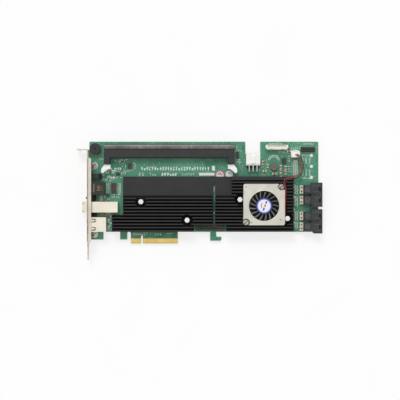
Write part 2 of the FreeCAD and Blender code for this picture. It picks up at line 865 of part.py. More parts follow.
def latch_levels():
    """Lowest and highest level of a latch's body, about the module's plane."""
    middle = component_face + module_height
    return middle - latch_thickness / 2, middle + latch_thickness / 2


def memory_socket():
    """Long right-angle socket: stepped body with a rounded rail, module slot and two forked arms."""
    low = component_face
    top = low + socket_height
    back = socket_front + socket_depth
    rail_top = top + socket_rail_rise
    rail_back = back - socket_chamfer
    rail_front = rail_back - socket_rail_width
    section = [(socket_front, low), (back, low), (back, top - socket_chamfer), (rail_back, rail_top),
               (rail_front, rail_top), (rail_front, top), (socket_front + socket_chamfer, top),
               (socket_front, top - socket_chamfer)]
    body = prism("X", socket_left, socket_right, section)
    arm_end = socket_front - socket_arm_length
    arms = []
    for side, outer in ((-1, socket_left), (1, socket_right)):
        inner = outer - side * socket_arm_width
        arms.append(prism("Z", low, top + socket_arm_rise, [
            (outer, socket_front + 1), (outer, arm_end + socket_chamfer),
            (outer - side * socket_chamfer, arm_end),
            (inner, arm_end), (inner, socket_front + 1)]))
    socket = fused([body] + arms)
    middle = (socket_left + socket_right) / 2
    half = module_width / 2 + module_clearance
    level = low + module_height
    thick = module_thickness / 2 + module_clearance / 2
    slot = block(middle - half, middle + half, arm_end - 1, socket_front + module_slot_depth,
                 level - thick, level + thick)
    key_x = middle - socket_key_offset
    key = block(key_x - socket_key_width / 2, key_x + socket_key_width / 2, socket_front,
                socket_front + module_slot_depth + 1, level - thick - 1, level + thick + 1)
    cuts = [slot.cut(key)]
    latch_low, latch_high = latch_levels()
    for side, outer in ((-1, socket_left), (1, socket_right)):
        inner = outer - side * (socket_arm_width + 1)
        pocket_back = socket_front - socket_pocket_wall
        cuts.append(block(min(outer + side, inner), max(outer + side, inner), arm_end - 1, pocket_back,
                          latch_low - latch_clearance, latch_high + latch_clearance))
        x, y = latch_pivot(side)
        reach = latch_clearance + latch_pin_length
        cuts.append(post(x, y, latch_pin_radius + latch_pin_clearance, latch_low - reach, latch_high + reach))
    return socket.cut(cuts)


def memory_latch(side):
    """White latch, open: a head round its pivot, a nose for the module and a finger grip leaning out."""
    x, y = latch_pivot(side)
    low, high = latch_levels()
    head_arc = latch_head - arc_allowance
    plan = [(-latch_head, latch_head, head_arc), (latch_head, latch_head, head_arc)] + list(latch_outline)
    body = prism("Z", low, high, [(x - side * corner[0], y + corner[1]) + corner[2:] for corner in plan])
    grip = prism("Z", low - latch_grip_extra, high + latch_grip_extra,
                 [(x - side * u, y + v) for u, v in latch_grip_outline])
    pin_reach = latch_clearance + latch_pin_length - latch_pin_end_gap
    pin = post(x, y, latch_pin_radius, low - pin_reach, high + pin_reach)
    level = component_face + module_height
    groove_x, groove_y = latch_groove_place
    half = module_thickness / 2 + latch_groove_gap
    groove = centred(x - side * groove_x, y + groove_y, *latch_groove_size, level - half, level + half)
    return fused([body, grip, pin]).cut(groove)


# ---------------------------------------------------------------- chips, heatsink, push pins
def lidded_chip(x, y, size):
    """Chip package: a square substrate with a smaller lid."""
    lid_floor = component_face + substrate_height
    lid = size - 2 * lid_margin
    return fused([centred(x, y, size, size, component_face, lid_floor),
                  centred(x, y, lid, lid, lid_floor, component_face + chip_height)])


def main_processor():
    """Main controller chip under the fan."""
    return lidded_chip(fan_x, fan_y, processor_size)


def expander_chip():
    """Drive expander chip under the left part of the heatsink."""
    return lidded_chip(expander_x, expander_y, expander_size)


def thermal_pads():
    """Soft pads between the chips and the heatsink."""
    pads = []
    for x, y, size in ((fan_x, fan_y, processor_size), (expander_x, expander_y, expander_size)):
        width = size - 2 * pad_margin
        pads.append(centred(x, y, width, width, component_face + chip_height, heatsink_floor))
    return Part.makeCompound(pads)


def fan_bay():
    """Space that the fins leave for the fan and, beside it, for its wires."""
    half = fan_width / 2 + fan_bay_clearance
    middle = fan_y + fan_offset_y
    return block(fan_x - half, fan_x + half + fan_wire_channel - fan_bay_clearance, middle - half,
                 middle + half, base_top, fin_top + 1)


def heatsink():
    """Black extruded heatsink: stepped base, long fins, low plate under the memory, top rail."""
    outline = [(heatsink_left, heatsink_bottom), (heatsink_right, heatsink_bottom),
               (heatsink_right, heatsink_top), (heatsink_step_x, heatsink_top),
               (heatsink_step_x, heatsink_step_y), (heatsink_left, heatsink_step_y)]
    solids = [prism("Z", heatsink_floor, base_top, outline)]
    centre = fin_first_y
    rail_bottom = heatsink_top - rail_width
    while centre + fin_pitch / 2 < rail_bottom:
        left = heatsink_left if centre + fin_thickness / 2 < heatsink_step_y else heatsink_step_x
        if centre + fin_thickness / 2 > low_plate_bottom:
            left = low_plate_right
        solids.append(block(left, heatsink_right, centre - fin_thickness / 2, centre + fin_thickness / 2,
                            heatsink_floor, fin_top))
        centre += fin_pitch
    solids.append(block(low_plate_right, heatsink_right, rail_bottom, heatsink_top, heatsink_floor, fin_top))
    sink = fused(solids)
    below = heatsink_floor - 1
    cuts = [fan_bay()]
    cuts.append(block(slit_x - slit_width / 2, slit_x + slit_width / 2, heatsink_bottom, slit_top,
                      below, fin_top + 1))
    cuts.append(block(header_notch_left, header_notch_left + header_notch_width, heatsink_bottom - 1,
                      heatsink_bottom + header_notch_height, below, fin_top + 1))
    for x, y in pin_centres:
        cuts.append(flat_sided_hole(x, y, pin_pocket_radius, base_top, fin_top + 1))
        cuts.append(flat_sided_hole(x, y, pin_shank_radius + pin_hole_clearance, below, base_top + 1))
    for x, y in fan_screw_places():
        cuts.append(post(x, y, small_screw_radius + screw_fit, below, base_top + 1))
    return sink.cut(cuts)


def push_pins():
    """Four nylon push pins: six-sided head and shank through heatsink and board, split barb below."""
    head_top = component_face + pin_head_level
    head_floor = head_top - pin_head_height
    barb_end = solder_face - pin_barb_length
    pins = []
    for x, y in pin_centres:
        head = prism("Z", head_floor, head_top, ring_corners(6, pin_head_radius, x, y))
        shank = prism("Z", solder_face, head_floor, ring_corners(6, pin_shank_radius, x, y))
        barb = prism("Y", y - pin_barb_width / 2, y + pin_barb_width / 2, [
            (x - pin_barb_radius, solder_face), (x + pin_barb_radius, solder_face),
            (x + pin_barb_radius, solder_face - pin_split), (x + pin_split, barb_end),
            (x - pin_split, barb_end), (x - pin_barb_radius, solder_face - pin_split)])
        split = centred(x, y, pin_split, 3 * pin_barb_width, barb_end - 1, solder_face + pin_split)
        pins.append(fused([shank, head, barb]).cut(split))
    return Part.makeCompound(pins)


# ---------------------------------------------------------------- fan
def fan_screw_places():
    """Plan positions of the two screws in the cut corners, upper right and lower left."""
    half = fan_width / 2 - fan_screw_inset
    middle = fan_y + fan_offset_y
    return [(fan_x + half, middle + half), (fan_x - half, middle - half)]


def wire_notch():
    """Opening in the frame's right wall where both wires leave."""
    ends = [RED_ROUTE[0], BLACK_ROUTE[0], RED_ROUTE[1], BLACK_ROUTE[1]]
    room = wire_diameter / 2 + wire_notch_clearance
    wall = fan_x + fan_width / 2
    return block(wall - fan_wall - 1, wall + 1, min(y for x, y, h in ends) - room,
                 max(y for x, y, h in ends) + room, component_face + min(h for x, y, h in ends) - room,
                 component_face + max(h for x, y, h in ends) + room)


def fan_frame():
    """Fan body: base with ears and motor boss, side walls with air outlets, edged cover with a bore."""
    half = fan_width / 2
    middle = fan_y + fan_offset_y
    cover_floor = fan_top - fan_cover - fan_rim_height
    body = prism("Z", fan_floor, fan_top,
                 rectangle(fan_x - half, fan_x + half, middle - half, middle + half, fan_corner_radius))
    inside = fan_width - 2 * fan_wall
    hollow = centred(fan_x, middle, inside, inside, fan_floor + fan_base, cover_floor)
    framed = fan_width - 2 * fan_rim_width
    dish = centred(fan_x, middle, framed, framed, fan_top - fan_rim_height, fan_top + 1)
    bore = post(fan_x, fan_y, fan_bore_radius, cover_floor - 1, fan_top + 1)
    outlet_floor = fan_floor + fan_base + outlet_step
    outlets = centred(fan_x, fan_y, fan_width + 2, outlet_width, outlet_floor, outlet_floor + outlet_height)
    core = centred(fan_x, fan_y, inside, outlet_width + 2, fan_floor, fan_top)
    cuts = [bore, outlets.cut(core), wire_notch()]
    fillers = []
    for x, y in fan_screw_places():
        fillers.append(post(x, y, fan_corner_cut + fan_wall, fan_floor, cover_floor).common(
            centred(fan_x, middle, fan_width, fan_width, fan_floor, fan_top)))
        cuts.append(post(x, y, fan_corner_cut, fan_floor + fan_base, fan_top + 1))
        cuts.append(post(x, y, small_screw_radius + small_screw_clearance, fan_floor - 1, fan_top))
    boss = post(fan_x, fan_y, bearing_radius + bearing_tube_wall, fan_floor, bearing_top)
    walls = fused([body.cut([hollow, dish])] + fillers).cut(cuts)
    return fused([walls, boss]).cut(post(fan_x, fan_y, bearing_radius, bearing_floor, bearing_top + 1))


def hub_levels():
    """Lowest and highest level of the rotor's hub."""
    low = fan_floor + fan_base + hub_clearance
    return low, low + hub_height


def fan_blade(angle):
    """Swept, pitched blade with flat faces between its lower and upper plan outlines."""
    low, high = hub_levels()
    blade_top = high - blade_drop
    start = hub_radius - hub_wall / 2
    tip = fan_bore_radius - blade_tip_gap
    corners = []
    for level, twist in ((blade_top - blade_height, 0.0), (blade_top, blade_pitch_angle)):
        for radius, sweep, side in ((start, 0.0, -1), (start, 0.0, 1),
                                    (tip, -blade_sweep, 1), (tip, -blade_sweep, -1)):
            half_angle = math.degrees(blade_thickness / 2 / radius)
            at = math.radians(angle + twist + sweep + side * half_angle)
            corners.append(V(fan_x + radius * math.cos(at), fan_y + radius * math.sin(at), level))
    faces = [(3, 2, 1, 0), (4, 5, 6, 7)]
    for first, second in ((0, 1), (1, 2), (2, 3), (3, 0)):
        faces += [(first, second, second + 4), (first, second + 4, first + 4)]
    return faceted(corners, faces)


def fan_rotor():
    """Moulded impeller: cup-shaped hub and its ring of blades."""
    low, high = hub_levels()
    cup = post(fan_x, fan_y, hub_radius, low, high)
    inside = prism("Z", low - 1, high - hub_ceiling,
                   ring_corners(hub_recess_side_count, hub_radius - hub_wall, fan_x, fan_y))
    shaft_hole = post(fan_x, fan_y, shaft_radius, low, high - hub_ceiling + shaft_seat)
    step = 360.0 / blade_count
    blades = [fan_blade(index * step) for index in range(blade_count)]
    return fused([cup] + blades).cut([inside, shaft_hole])


def fan_shaft():
    """Steel shaft held in the hub and turning in the sleeve bearing."""
    low, high = hub_levels()
    return post(fan_x, fan_y, shaft_radius, bearing_floor + shaft_end_gap, high - hub_ceiling + shaft_seat)


def fan_magnet():
    """Magnet ring inside the hub: a strip bent into flats, touching the hub's wall at its corners."""
    low, high = hub_levels()
    outer = hub_radius - hub_wall - magnet_clearance / 3
    inner = outer - magnet_thickness
    floor = low + magnet_clearance
    ceiling = high - hub_ceiling - magnet_clearance
    ring = prism("Z", floor, ceiling, ring_corners(magnet_side_count, outer, fan_x, fan_y))
    return ring.cut(prism("Z", floor - 1, ceiling + 1, ring_corners(magnet_side_count, inner, fan_x, fan_y)))


def fan_stator():
    """Wound stator: four poles on a square core round the bearing tube."""
    low = fan_floor + fan_base
    top = low + stator_height
    reach = 2 * stator_radius
    core = centred(fan_x, fan_y, stator_core_width, stator_core_width, low, top)
    poles = [centred(fan_x, fan_y, reach, stator_pole_width, low + stator_pole_step, top - stator_pole_step),
             centred(fan_x, fan_y, stator_pole_width, reach, low + stator_pole_step, top - stator_pole_step)]
    return fused([core] + poles).cut(post(fan_x, fan_y, bearing_radius + bearing_tube_wall, low - 1, top + 1))


def fan_bearing():
    """Sintered bronze sleeve in the bearing tube."""
    sleeve = post(fan_x, fan_y, bearing_radius, bearing_floor, bearing_top)
    return sleeve.cut(post(fan_x, fan_y, shaft_radius + shaft_clearance, bearing_floor + shaft_end_gap / 2,
                           bearing_top + 1))


def fan_hub_label():
    """Round label on the hub."""
    high = hub_levels()[1]
    return post(fan_x, fan_y, hub_radius - label_margin, high, high + label_thickness)


def fan_screws():
    """Two screws that hold the fan's ears to the heatsink."""
    tip = heatsink_floor + small_screw_clearance
    return Part.makeCompound([slotted_screw(x, y, fan_floor + fan_base, tip)
                              for x, y in fan_screw_places()])


# ---------------------------------------------------------------- power inlet and headers
def power_pin_rows():
    """Levels of the lower and upper row of the power inlet."""
    middle = component_face + power_height / 2
    return middle - power_pitch / 2, middle + power_pitch / 2


def power_header():
    """White right-angle power inlet: six square sockets, a latch ramp and a stepped back."""
    low = component_face
    top = low + power_height
    back = power_front - power_depth
    middle = power_left + power_width / 2
    body = block(power_left, power_right, back, power_front, low, top)
    ramp_back = back + power_shoulder + power_ramp_height / 2
    ramp_front = power_front - 2 * power_ramp_height
    ramp = prism("X", middle - power_ramp_width / 2, middle + power_ramp_width / 2, [
        (ramp_back, top), (ramp_front, top), (ramp_front - power_ramp_height, top + power_ramp_height),
        (ramp_back, top + power_ramp_height)])
    shoulder = block(power_left, power_right, back, back + power_shoulder, top - power_ramp_height, top + 1)
    sockets = [block(x - power_socket / 2, x + power_socket / 2,
                     power_front - power_socket_depth, power_front + 1,
                     level - power_socket / 2, level + power_socket / 2)
               for level in power_pin_rows() for x in power_pin_places()]
    return fused([body.cut(shoulder), ramp]).cut(sockets + power_pin_bars())


def power_pin_places():
    """Places along X of the power inlet's three pins a row."""
    return [power_left + power_width / 2 + offset for offset in row(3, power_pitch)]


def power_pin_bends():
    """Places along Y where the lower and the upper row of pins go down to the board."""
    bend = power_front - power_depth - power_pin_exit
    return bend, bend - power_pin_setback


def power_pin_bars():
    """Right-angle pins of the power inlet, as solids: the upper row reaches further back."""
    half = power_pin / 2
    front = power_front - power_pin_reach
    return [prism("X", x - half, x + half, [
                (front, level - half), (bend + half, level - half), (bend + half, component_face),
                (bend - half, component_face), (bend - half, level + half), (front, level + half)])
            for level, bend in zip(power_pin_rows(), power_pin_bends()) for x in power_pin_places()]


def power_header_pins():
    """Six right-angle pins of the power inlet."""
    return Part.makeCompound(power_pin_bars())


def header_places(columns, x, y):
    """Plan positions of a two-row header's pins."""
    return [(x + across, y + up) for across in row(columns, header_pitch) for up in row(2, header_pitch)]


def header_strip(columns, x, y):
    """Black strip of a two-row header."""
    strip = centred(x, y, columns * header_pitch, 2 * header_pitch, component_face,
                    component_face + header_base)
    return strip.cut(header_pins_list(columns, x, y))


def header_pins_list(columns, x, y):
    """Square pins of a two-row header."""
    return [centred(px, py, header_pin, header_pin, component_face, component_face + header_pin_height)
            for px, py in header_places(columns, x, y)]


def corner_header():
    """Header strip near the upper right corner."""
    return header_strip(corner_header_columns, corner_header_x, corner_header_y)


def corner_header_pins():
    """Pins of the corner header."""
    return Part.makeCompound(header_pins_list(corner_header_columns, corner_header_x, corner_header_y))


def bottom_header():
    """Header strip in the heatsink's lower notch."""
    return header_strip(bottom_header_columns, bottom_header_x, bottom_header_y)


def bottom_header_pins():
    """Pins of the lower header."""
    return Part.makeCompound(header_pins_list(bottom_header_columns, bottom_header_x, bottom_header_y))


def wafer_pin_bars():
    """Upright pins in the wafer connector."""
    top = component_face + wafer_height - wafer_wall
    return [centred(wafer_x + offset, wafer_y, wafer_pin, wafer_pin, component_face, top)
            for offset in row(wafer_pin_count, wafer_pin_pitch)]


def wafer_connector():
    """Cream open-topped connector with notched long wall and end posts."""
    front = wafer_y - wafer_width / 2
    floor = component_face + wafer_floor
    top = component_face + wafer_height
    shell = centred(wafer_x, wafer_y, wafer_length, wafer_width, component_face, top)
    well = centred(wafer_x, wafer_y, wafer_length - 2 * wafer_end, wafer_width - 2 * wafer_wall, floor,
                   top + 1)
    notches = [centred(wafer_x + offset, front, wafer_notch_width, wafer_width, floor + 1, top + 1)
               for offset in (-wafer_notch_offset, wafer_notch_offset)]
    ends = [centred(wafer_x + offset, front, wafer_end, wafer_end, component_face - 1, top + 1)
            for offset in row(2, wafer_length)]
    return shell.cut([well] + notches + ends + wafer_pin_bars())


def wafer_pins():
    """Pins of the wafer connector."""
    return Part.makeCompound(wafer_pin_bars())


def fan_header():
    """White header under the fan's plug, with its back wall."""
    base_level = component_face + fan_header_base
    base = centred(fan_header_x, fan_header_y, fan_plug_length, fan_plug_width, component_face, base_level)
    wall = centred(fan_header_x, fan_header_y + (fan_plug_width - fan_header_wall) / 2,
                   fan_plug_length - 4 * fan_header_wall, fan_header_wall, component_face,
                   base_level + fan_plug_height - fan_header_wall)
    return fused([base, wall])


def fan_plug():
    """White plug of the fan's wires, with a square cavity for each wire in its top and a latch window."""
    low = component_face + fan_header_base
    top = low + fan_plug_height
    front = fan_header_y - fan_plug_width / 2
    back = fan_header_y + fan_plug_width / 2 - fan_header_wall - fan_plug_clearance
    body = block(fan_header_x - fan_plug_length / 2, fan_header_x + fan_plug_length / 2,
                 front, back, low, top)
    window = centred(fan_header_x - fan_plug_length / 4, front, fan_plug_length / 4, fan_plug_cavity,
                     low + fan_plug_cavity_depth, top - fan_plug_cavity_depth)
    cavities = [centred(fan_header_x + offset, fan_header_y - fan_plug_wire_setback, fan_plug_cavity,
                        fan_plug_cavity, top - fan_plug_cavity_depth, top + 1)
                for offset in fan_plug_wire_offsets]
    return body.cut([window] + cavities)


# ---------------------------------------------------------------- fan wires
def wire_tube(points, factor=0.45):
    """Flat-sided tube of straight runs and tangent arcs; returns it with its length and its arcs' radii."""
    heading = (points[1] - points[0]).normalize()
    side = heading.cross(V(0, 0, 1)).normalize()
    lift = side.cross(heading)
    rim = [points[0] + (side * math.cos(angle) + lift * math.sin(angle)) * (wire_diameter / 2)
           for angle in [2 * math.pi * step / wire_side_count for step in range(wire_side_count)]]
    section = Part.Face(Part.makePolygon(rim + rim[:1]))
    pieces = []
    radii = []
    length = 0.0
    here = points[0]
    for before, corner, after in zip(points, points[1:], points[2:]):
        back = before - corner
        ahead = after - corner
        cut = factor * min(back.Length, ahead.Length)
        turn = math.pi - back.getAngle(ahead)
        radius = cut / math.tan(turn / 2)
        back.normalize()
        ahead.normalize()
        start = corner + back * cut
        axis = ahead.cross(back).normalize()
        centre = start + back.cross(axis) * radius
        pieces.append(section.extrude(start - here))
        section.translate(start - here)
        pieces.append(section.revolve(centre, axis, math.degrees(turn)))
        section.rotate(centre, axis, math.degrees(turn))
        length += (start - here).Length + radius * turn
        radii.append(radius)
        here = corner + ahead * cut
    pieces.append(section.extrude(points[-1] - here))
    length += (points[-1] - here).Length
    return fused(pieces), length, radii


def fan_wire(name, points):
    """Insulated wire along its route; prints its length, its bends and how its volume compares."""
    tube, length, radii = wire_tube([V(x, y, component_face + h) for x, y, h in points])
    section = wire_side_count / 2 * math.sin(2 * math.pi / wire_side_count) * (wire_diameter / 2) ** 2
    print(name, "length", round(length, 1), "volume ratio", round(tube.Volume / section / length, 4),
          "radii", [round(radius, 1) for radius in radii])
    return tube


RED_ROUTE = [(154.2, 21.2, 7.6), (155.7, 22.9, 7.6), (155.8, 26.6, 7.7), (155.8, 33.0, 8.2),
             (156.0, 43.0, 10.0), (156.0, 53.0, 12.2), (155.9, 60.0, 13.2), (153.5, 66.4, 13.8),
             (155.3, 70.8, 13.5),
             (160.8, 71.4, 13.2), (166.6, 72.4, 12.9), (171.0, 75.8, 9.8), (173.4, 80.8, 7.6),
             (173.6, 86.2, 9.0), (171.6, 91.2, 12.0), (168.8, 95.1, 12.35), (167.4, 96.7, 10.2),
             (167.4, 96.7, 7.2)]
BLACK_ROUTE = [(154.2, 23.4, 5.8), (155.7, 25.1, 5.8), (155.9, 28.8, 5.9), (155.9, 35.2, 6.4),
               (156.2, 45.2, 8.3), (156.4, 54.8, 10.6), (156.4, 61.2, 12.7), (155.3, 66.6, 13.4),
               (157.3, 69.6, 13.3),
               (162.8, 69.8, 13.1), (168.4, 71.0, 12.6), (173.0, 74.8, 9.0), (175.3, 80.4, 6.7),
               (175.4, 86.4, 8.4), (173.5, 91.6, 11.8), (170.8, 95.1, 12.35), (169.4, 96.7, 10.2),
               (169.4, 96.7, 7.2)]


# ---------------------------------------------------------------- drive connectors
def sas_housing(pair_y, chamfer):
    """Black front block with two plug mouths facing outwards, inner tongues and latch windows."""
    right = board_right + sas_overhang
    left = right - sas_block_depth
    low = component_face
    top = low + sas_height
    half = sas_block_width / 2
    outline = [(left, pair_y - half + chamfer), (left + chamfer, pair_y - half), (right, pair_y - half),
               (right, pair_y + half), (left, pair_y + half)]
    front = prism("Z", low, top, outline)
    cuts = [block(left - 1, right - sas_groove_setback, pair_y - sas_groove / 2, pair_y + sas_groove / 2,
                  top - sas_groove, top + 1)]
    tongues = []
    middle = low + sas_height / 2
    mouth_x = right - sas_mouth_depth / 2
    latch_x = right - sas_latch_inset - sas_latch_length / 2
    for offset in row(2, sas_port_pitch):
        y = pair_y + offset
        cuts.append(centred(mouth_x + 0.5, y, sas_mouth_depth + 1, sas_mouth_width,
                            middle - sas_mouth_height / 2, middle + sas_mouth_height / 2))
        cuts.append(centred(latch_x, y, sas_latch_length, sas_latch_width, middle, top + 1))
        tongues.append(block(right - sas_mouth_depth, right - sas_mouth_depth + sas_tongue_length,
                             y - sas_mouth_width / 2, y + sas_mouth_width / 2,
                             middle - sas_tongue_height / 2, middle + sas_tongue_height / 2))
    return fused([front.cut(cuts)] + tongues)


def wafer_body_places():
    """Middle of each of the four contact bodies behind the front blocks."""
    return [pair_y + offset for pair_y in sas_pair_centres for offset in row(2, sas_port_pitch)]


def sas_wafer_bodies():
    """Four ribbed contact bodies behind the front blocks."""
    right = board_right + sas_overhang - sas_block_depth
    left = right - wafer_body_length
    low = component_face
    half = wafer_body_width / 2
    bodies = []
    for y in wafer_body_places():
        body = prism("Y", y - half, y + half, [
            (left, low), (right, low), (right, low + wafer_body_height),
            (left + wafer_body_slope, low + wafer_body_height),
            (left, low + wafer_body_height - wafer_body_slope)])
        grooves = [block(left + wafer_body_slope + groove_margin, right - groove_margin,
                         y + offset - groove_width / 2, y + offset + groove_width / 2,
                         low + wafer_body_height - groove_depth, low + wafer_body_height + 1)
                   for offset in row(4, groove_pitch)]
        bodies.append(body.cut(grooves))
    return Part.makeCompound(bodies)


def sas_organisers():
    """Four cream tail organisers with two square sockets each."""
    right = board_right + sas_overhang - sas_block_depth - wafer_body_length
    left = right - organiser_length
    half = wafer_body_width / 2
    strips = []
    for y in wafer_body_places():
        strip = block(left, right, y - half, y + half, component_face, component_face + organiser_height)
        sockets = [centred(left + organiser_length / 2, y + offset, organiser_socket, organiser_socket,
                           component_face + organiser_floor, component_face + organiser_height + 1)
                   for offset in row(2, 2 * organiser_socket_offset)]
        strips.append(strip.cut(sockets))
    return Part.makeCompound(strips)


# ---------------------------------------------------------------- small board parts
def small_parts(places, size):
    """Small rectangular parts on the board: each place is (x, y, turned), turned parts lying along Y."""
    length, width, height = size
    return [centred(x, y, width if turned else length, length if turned else width, component_face,
                    component_face + height) for x, y, turned in places]


def beside_inlet(offsets):
    """Places of parts that follow the inlet's right edge and the heatsink's top edge."""
    return [(power_right + offset[0], heatsink_top + offset[1]) + tuple(offset[2:]) for offset in offsets]


def beside_bracket(places):
    """Places of parts given by their distance from the board's left edge."""
    return [(board_left + place[0],) + tuple(place[1:]) for place in places]


def inductor():
    """Square shielded choke: a square base with an eight-sided drum."""
    x, y = beside_inlet([inductor_place])[0]
    step = component_face + inductor_base
    base = centred(x, y, inductor_width, inductor_width, component_face, step)
    half_turn = math.pi / inductor_drum_side_count
    drum = prism("Z", step, component_face + inductor_height,
                 ring_corners(inductor_drum_side_count, inductor_width / 2 / math.cos(half_turn), x, y,
                              math.degrees(half_turn)))
    return fused([base, drum])


def power_regulator():
    """Black regulator chip."""
    length, width, height = regulator_size
    x, y = beside_inlet([regulator_place])[0]
    return centred(x, y, length, width, component_face, component_face + height)


def serial_driver():
    """Narrow gull-wing package behind the serial jack: body and its lead rows in one."""
    floor = component_face + driver_stand_off
    top = component_face + driver_height
    half = driver_width / 2
    body = centred(driver_x, driver_y, driver_width, driver_length, floor, top)
    knee = half + driver_lead_reach / 2
    sole = component_face + jack_contact_thickness
    leads = []
    for offset in row(driver_leads_a_side, driver_lead_pitch):
        y = driver_y + offset
        for side in (-1, 1):
            leads.append(prism("Y", y - driver_lead_width / 2, y + driver_lead_width / 2, [
                (driver_x + side * half, sole), (driver_x + side * half, (floor + top) / 2),
                (driver_x + side * knee, sole), (driver_x + side * (half + driver_lead_reach), sole),
                (driver_x + side * (half + driver_lead_reach), component_face),
                (driver_x + side * half, component_face)]))
    return fused([body] + leads)


def support_chips():
    """Four small black chips."""
    solids = [centred(x, y, length, width, component_face, component_face + height)
              for x, y, length, width, height in beside_bracket(port_chips)]
    length, width, height = socket_chip_size
    room = power_left - socket_right - length
    x = socket_right + length / 2 + socket_chip_gap_share * room
    solids.append(centred(x, socket_chip_y, length, width, component_face, component_face + height))
    return Part.makeCompound(solids)


def power_capacitors():
    """Brown capacitors near the power inlet and the fan's header."""
    dx, dy = header_capacitor_place
    places = beside_inlet(power_capacitor_places) + [(fan_header_x + dx, fan_header_y + dy, 0)]
    return Part.makeCompound(small_parts(places, power_capacitor_size))


def chip_capacitors():
    """Small tan capacitors over the board's free areas."""
    dx, y = socket_capacitor_place
    places = beside_bracket(port_capacitor_places) + [(socket_right + dx, y, 1)]
    places += [(board_right - drive_capacitor_inset, y, 1) for y in drive_capacitor_heights]
    return Part.makeCompound(small_parts(places, chip_capacitor_size))


def chip_resistors():
    """Small dark resistors with pale ends, beside the drive connectors and the ports."""
    places = beside_bracket(port_resistor_places)
    places += [(power_left - inlet_resistor_setback, y, 1) for y in inlet_resistor_heights]
    places += [(board_right - drive_resistor_inset, y, 0) for y in drive_resistor_heights]
    return Part.makeCompound(small_parts(places, chip_resistor_size))


def joint_places():
    """Plan positions of the soldered tails of the through-hole parts."""
    places = header_places(corner_header_columns, corner_header_x, corner_header_y)
    places += header_places(bottom_header_columns, bottom_header_x, bottom_header_y)
    places += [(x, bend) for bend in power_pin_bends() for x in power_pin_places()]
    places += [(fan_header_x + offset, fan_header_y) for offset in row(3, header_pitch)]
    jacks = ((network_length, network_y, network_contact_count, network_contact_pitch),
             (serial_length, serial_y, serial_contact_count, serial_contact_pitch))
    for back, middle, count, pitch in jacks:
        places += [(bracket_outer + back - jack_tail_setback - index % 2 * header_pitch, middle + offset)
                   for index, offset in enumerate(row(count, pitch))]
    return places + [(buzzer_x + offset, buzzer_y) for offset in row(2, buzzer_pitch)]


def solder_joints():
    """Pointed solder joints on the solder side."""
    half = joint_width / 2
    joints = []
    for x, y in joint_places():
        corners = [V(x - half, y - half, solder_face), V(x + half, y - half, solder_face),
                   V(x + half, y + half, solder_face), V(x - half, y + half, solder_face),
                   V(x, y, solder_face - joint_height)]
        joints.append(faceted(corners, [(0, 1, 2, 3), (1, 0, 4), (2, 1, 4), (3, 2, 4), (0, 3, 4)]))
    return Part.makeCompound(joints)


# ---------------------------------------------------------------- the nodes
def nodes():
    """Every node's name and shape."""
    return {
        "circuit_board": circuit_board(),
        "edge_contacts": edge_contacts(),
        "mounting_bracket": mounting_bracket(),
        "bracket_screws": bracket_screws(),
        "network_jack_shield": network_jack_shield(),
        "network_jack_body": network_jack_body(),
        "network_jack_contacts": network_jack_contacts(),
        "serial_jack_body": serial_jack_body(),
        "serial_jack_contacts": serial_jack_contacts(),
        "external_sas_cage": external_sas_cage(),
        "external_sas_receptacle": external_sas_receptacle(),
        "lower_led_block": lower_led_block(),
        "upper_led_block": upper_led_block(),
        "led_lenses": led_lenses(),
        "buzzer": buzzer(),
        "memory_socket": memory_socket(),
        "left_memory_latch": memory_latch(-1),
        "right_memory_latch": memory_latch(1),
        "main_processor": main_processor(),
        "expander_chip": expander_chip(),
        "thermal_pads": thermal_pads(),
        "heatsink": heatsink(),
        "push_pins": push_pins(),
        "fan_frame": fan_frame(),
        "fan_rotor": fan_rotor(),
        "fan_shaft": fan_shaft(),
        "fan_magnet": fan_magnet(),
        "fan_stator": fan_stator(),
        "fan_bearing": fan_bearing(),
        "fan_hub_label": fan_hub_label(),
        "fan_screws": fan_screws(),
        "power_header": power_header(),
        "power_header_pins": power_header_pins(),
        "corner_header": corner_header(),
        "corner_header_pins": corner_header_pins(),
        "bottom_header": bottom_header(),
        "bottom_header_pins": bottom_header_pins(),
        "wafer_connector": wafer_connector(),
        "wafer_pins": wafer_pins(),
        "fan_header": fan_header(),
        "fan_plug": fan_plug(),
        "fan_wire_red": fan_wire("red wire", RED_ROUTE),
        "fan_wire_black": fan_wire("black wire", BLACK_ROUTE),
        "upper_sas_housing": sas_housing(sas_pair_centres[0], sas_small_chamfer),
        "lower_sas_housing": sas_housing(sas_pair_centres[1], sas_large_chamfer),
        "sas_wafer_bodies": sas_wafer_bodies(),
        "sas_organisers": sas_organisers(),
        "inductor": inductor(),
        "power_regulator": power_regulator(),
        "serial_driver": serial_driver(),
        "support_chips": support_chips(),
        "power_capacitors": power_capacitors(),
        "chip_capacitors": chip_capacitors(),
        "chip_resistors": chip_resistors(),
        "solder_joints": solder_joints(),
    }


os.makedirs("parts", exist_ok=True)
for node_name, shape in nodes().items():
    shape.exportStep("parts/" + node_name + ".step")
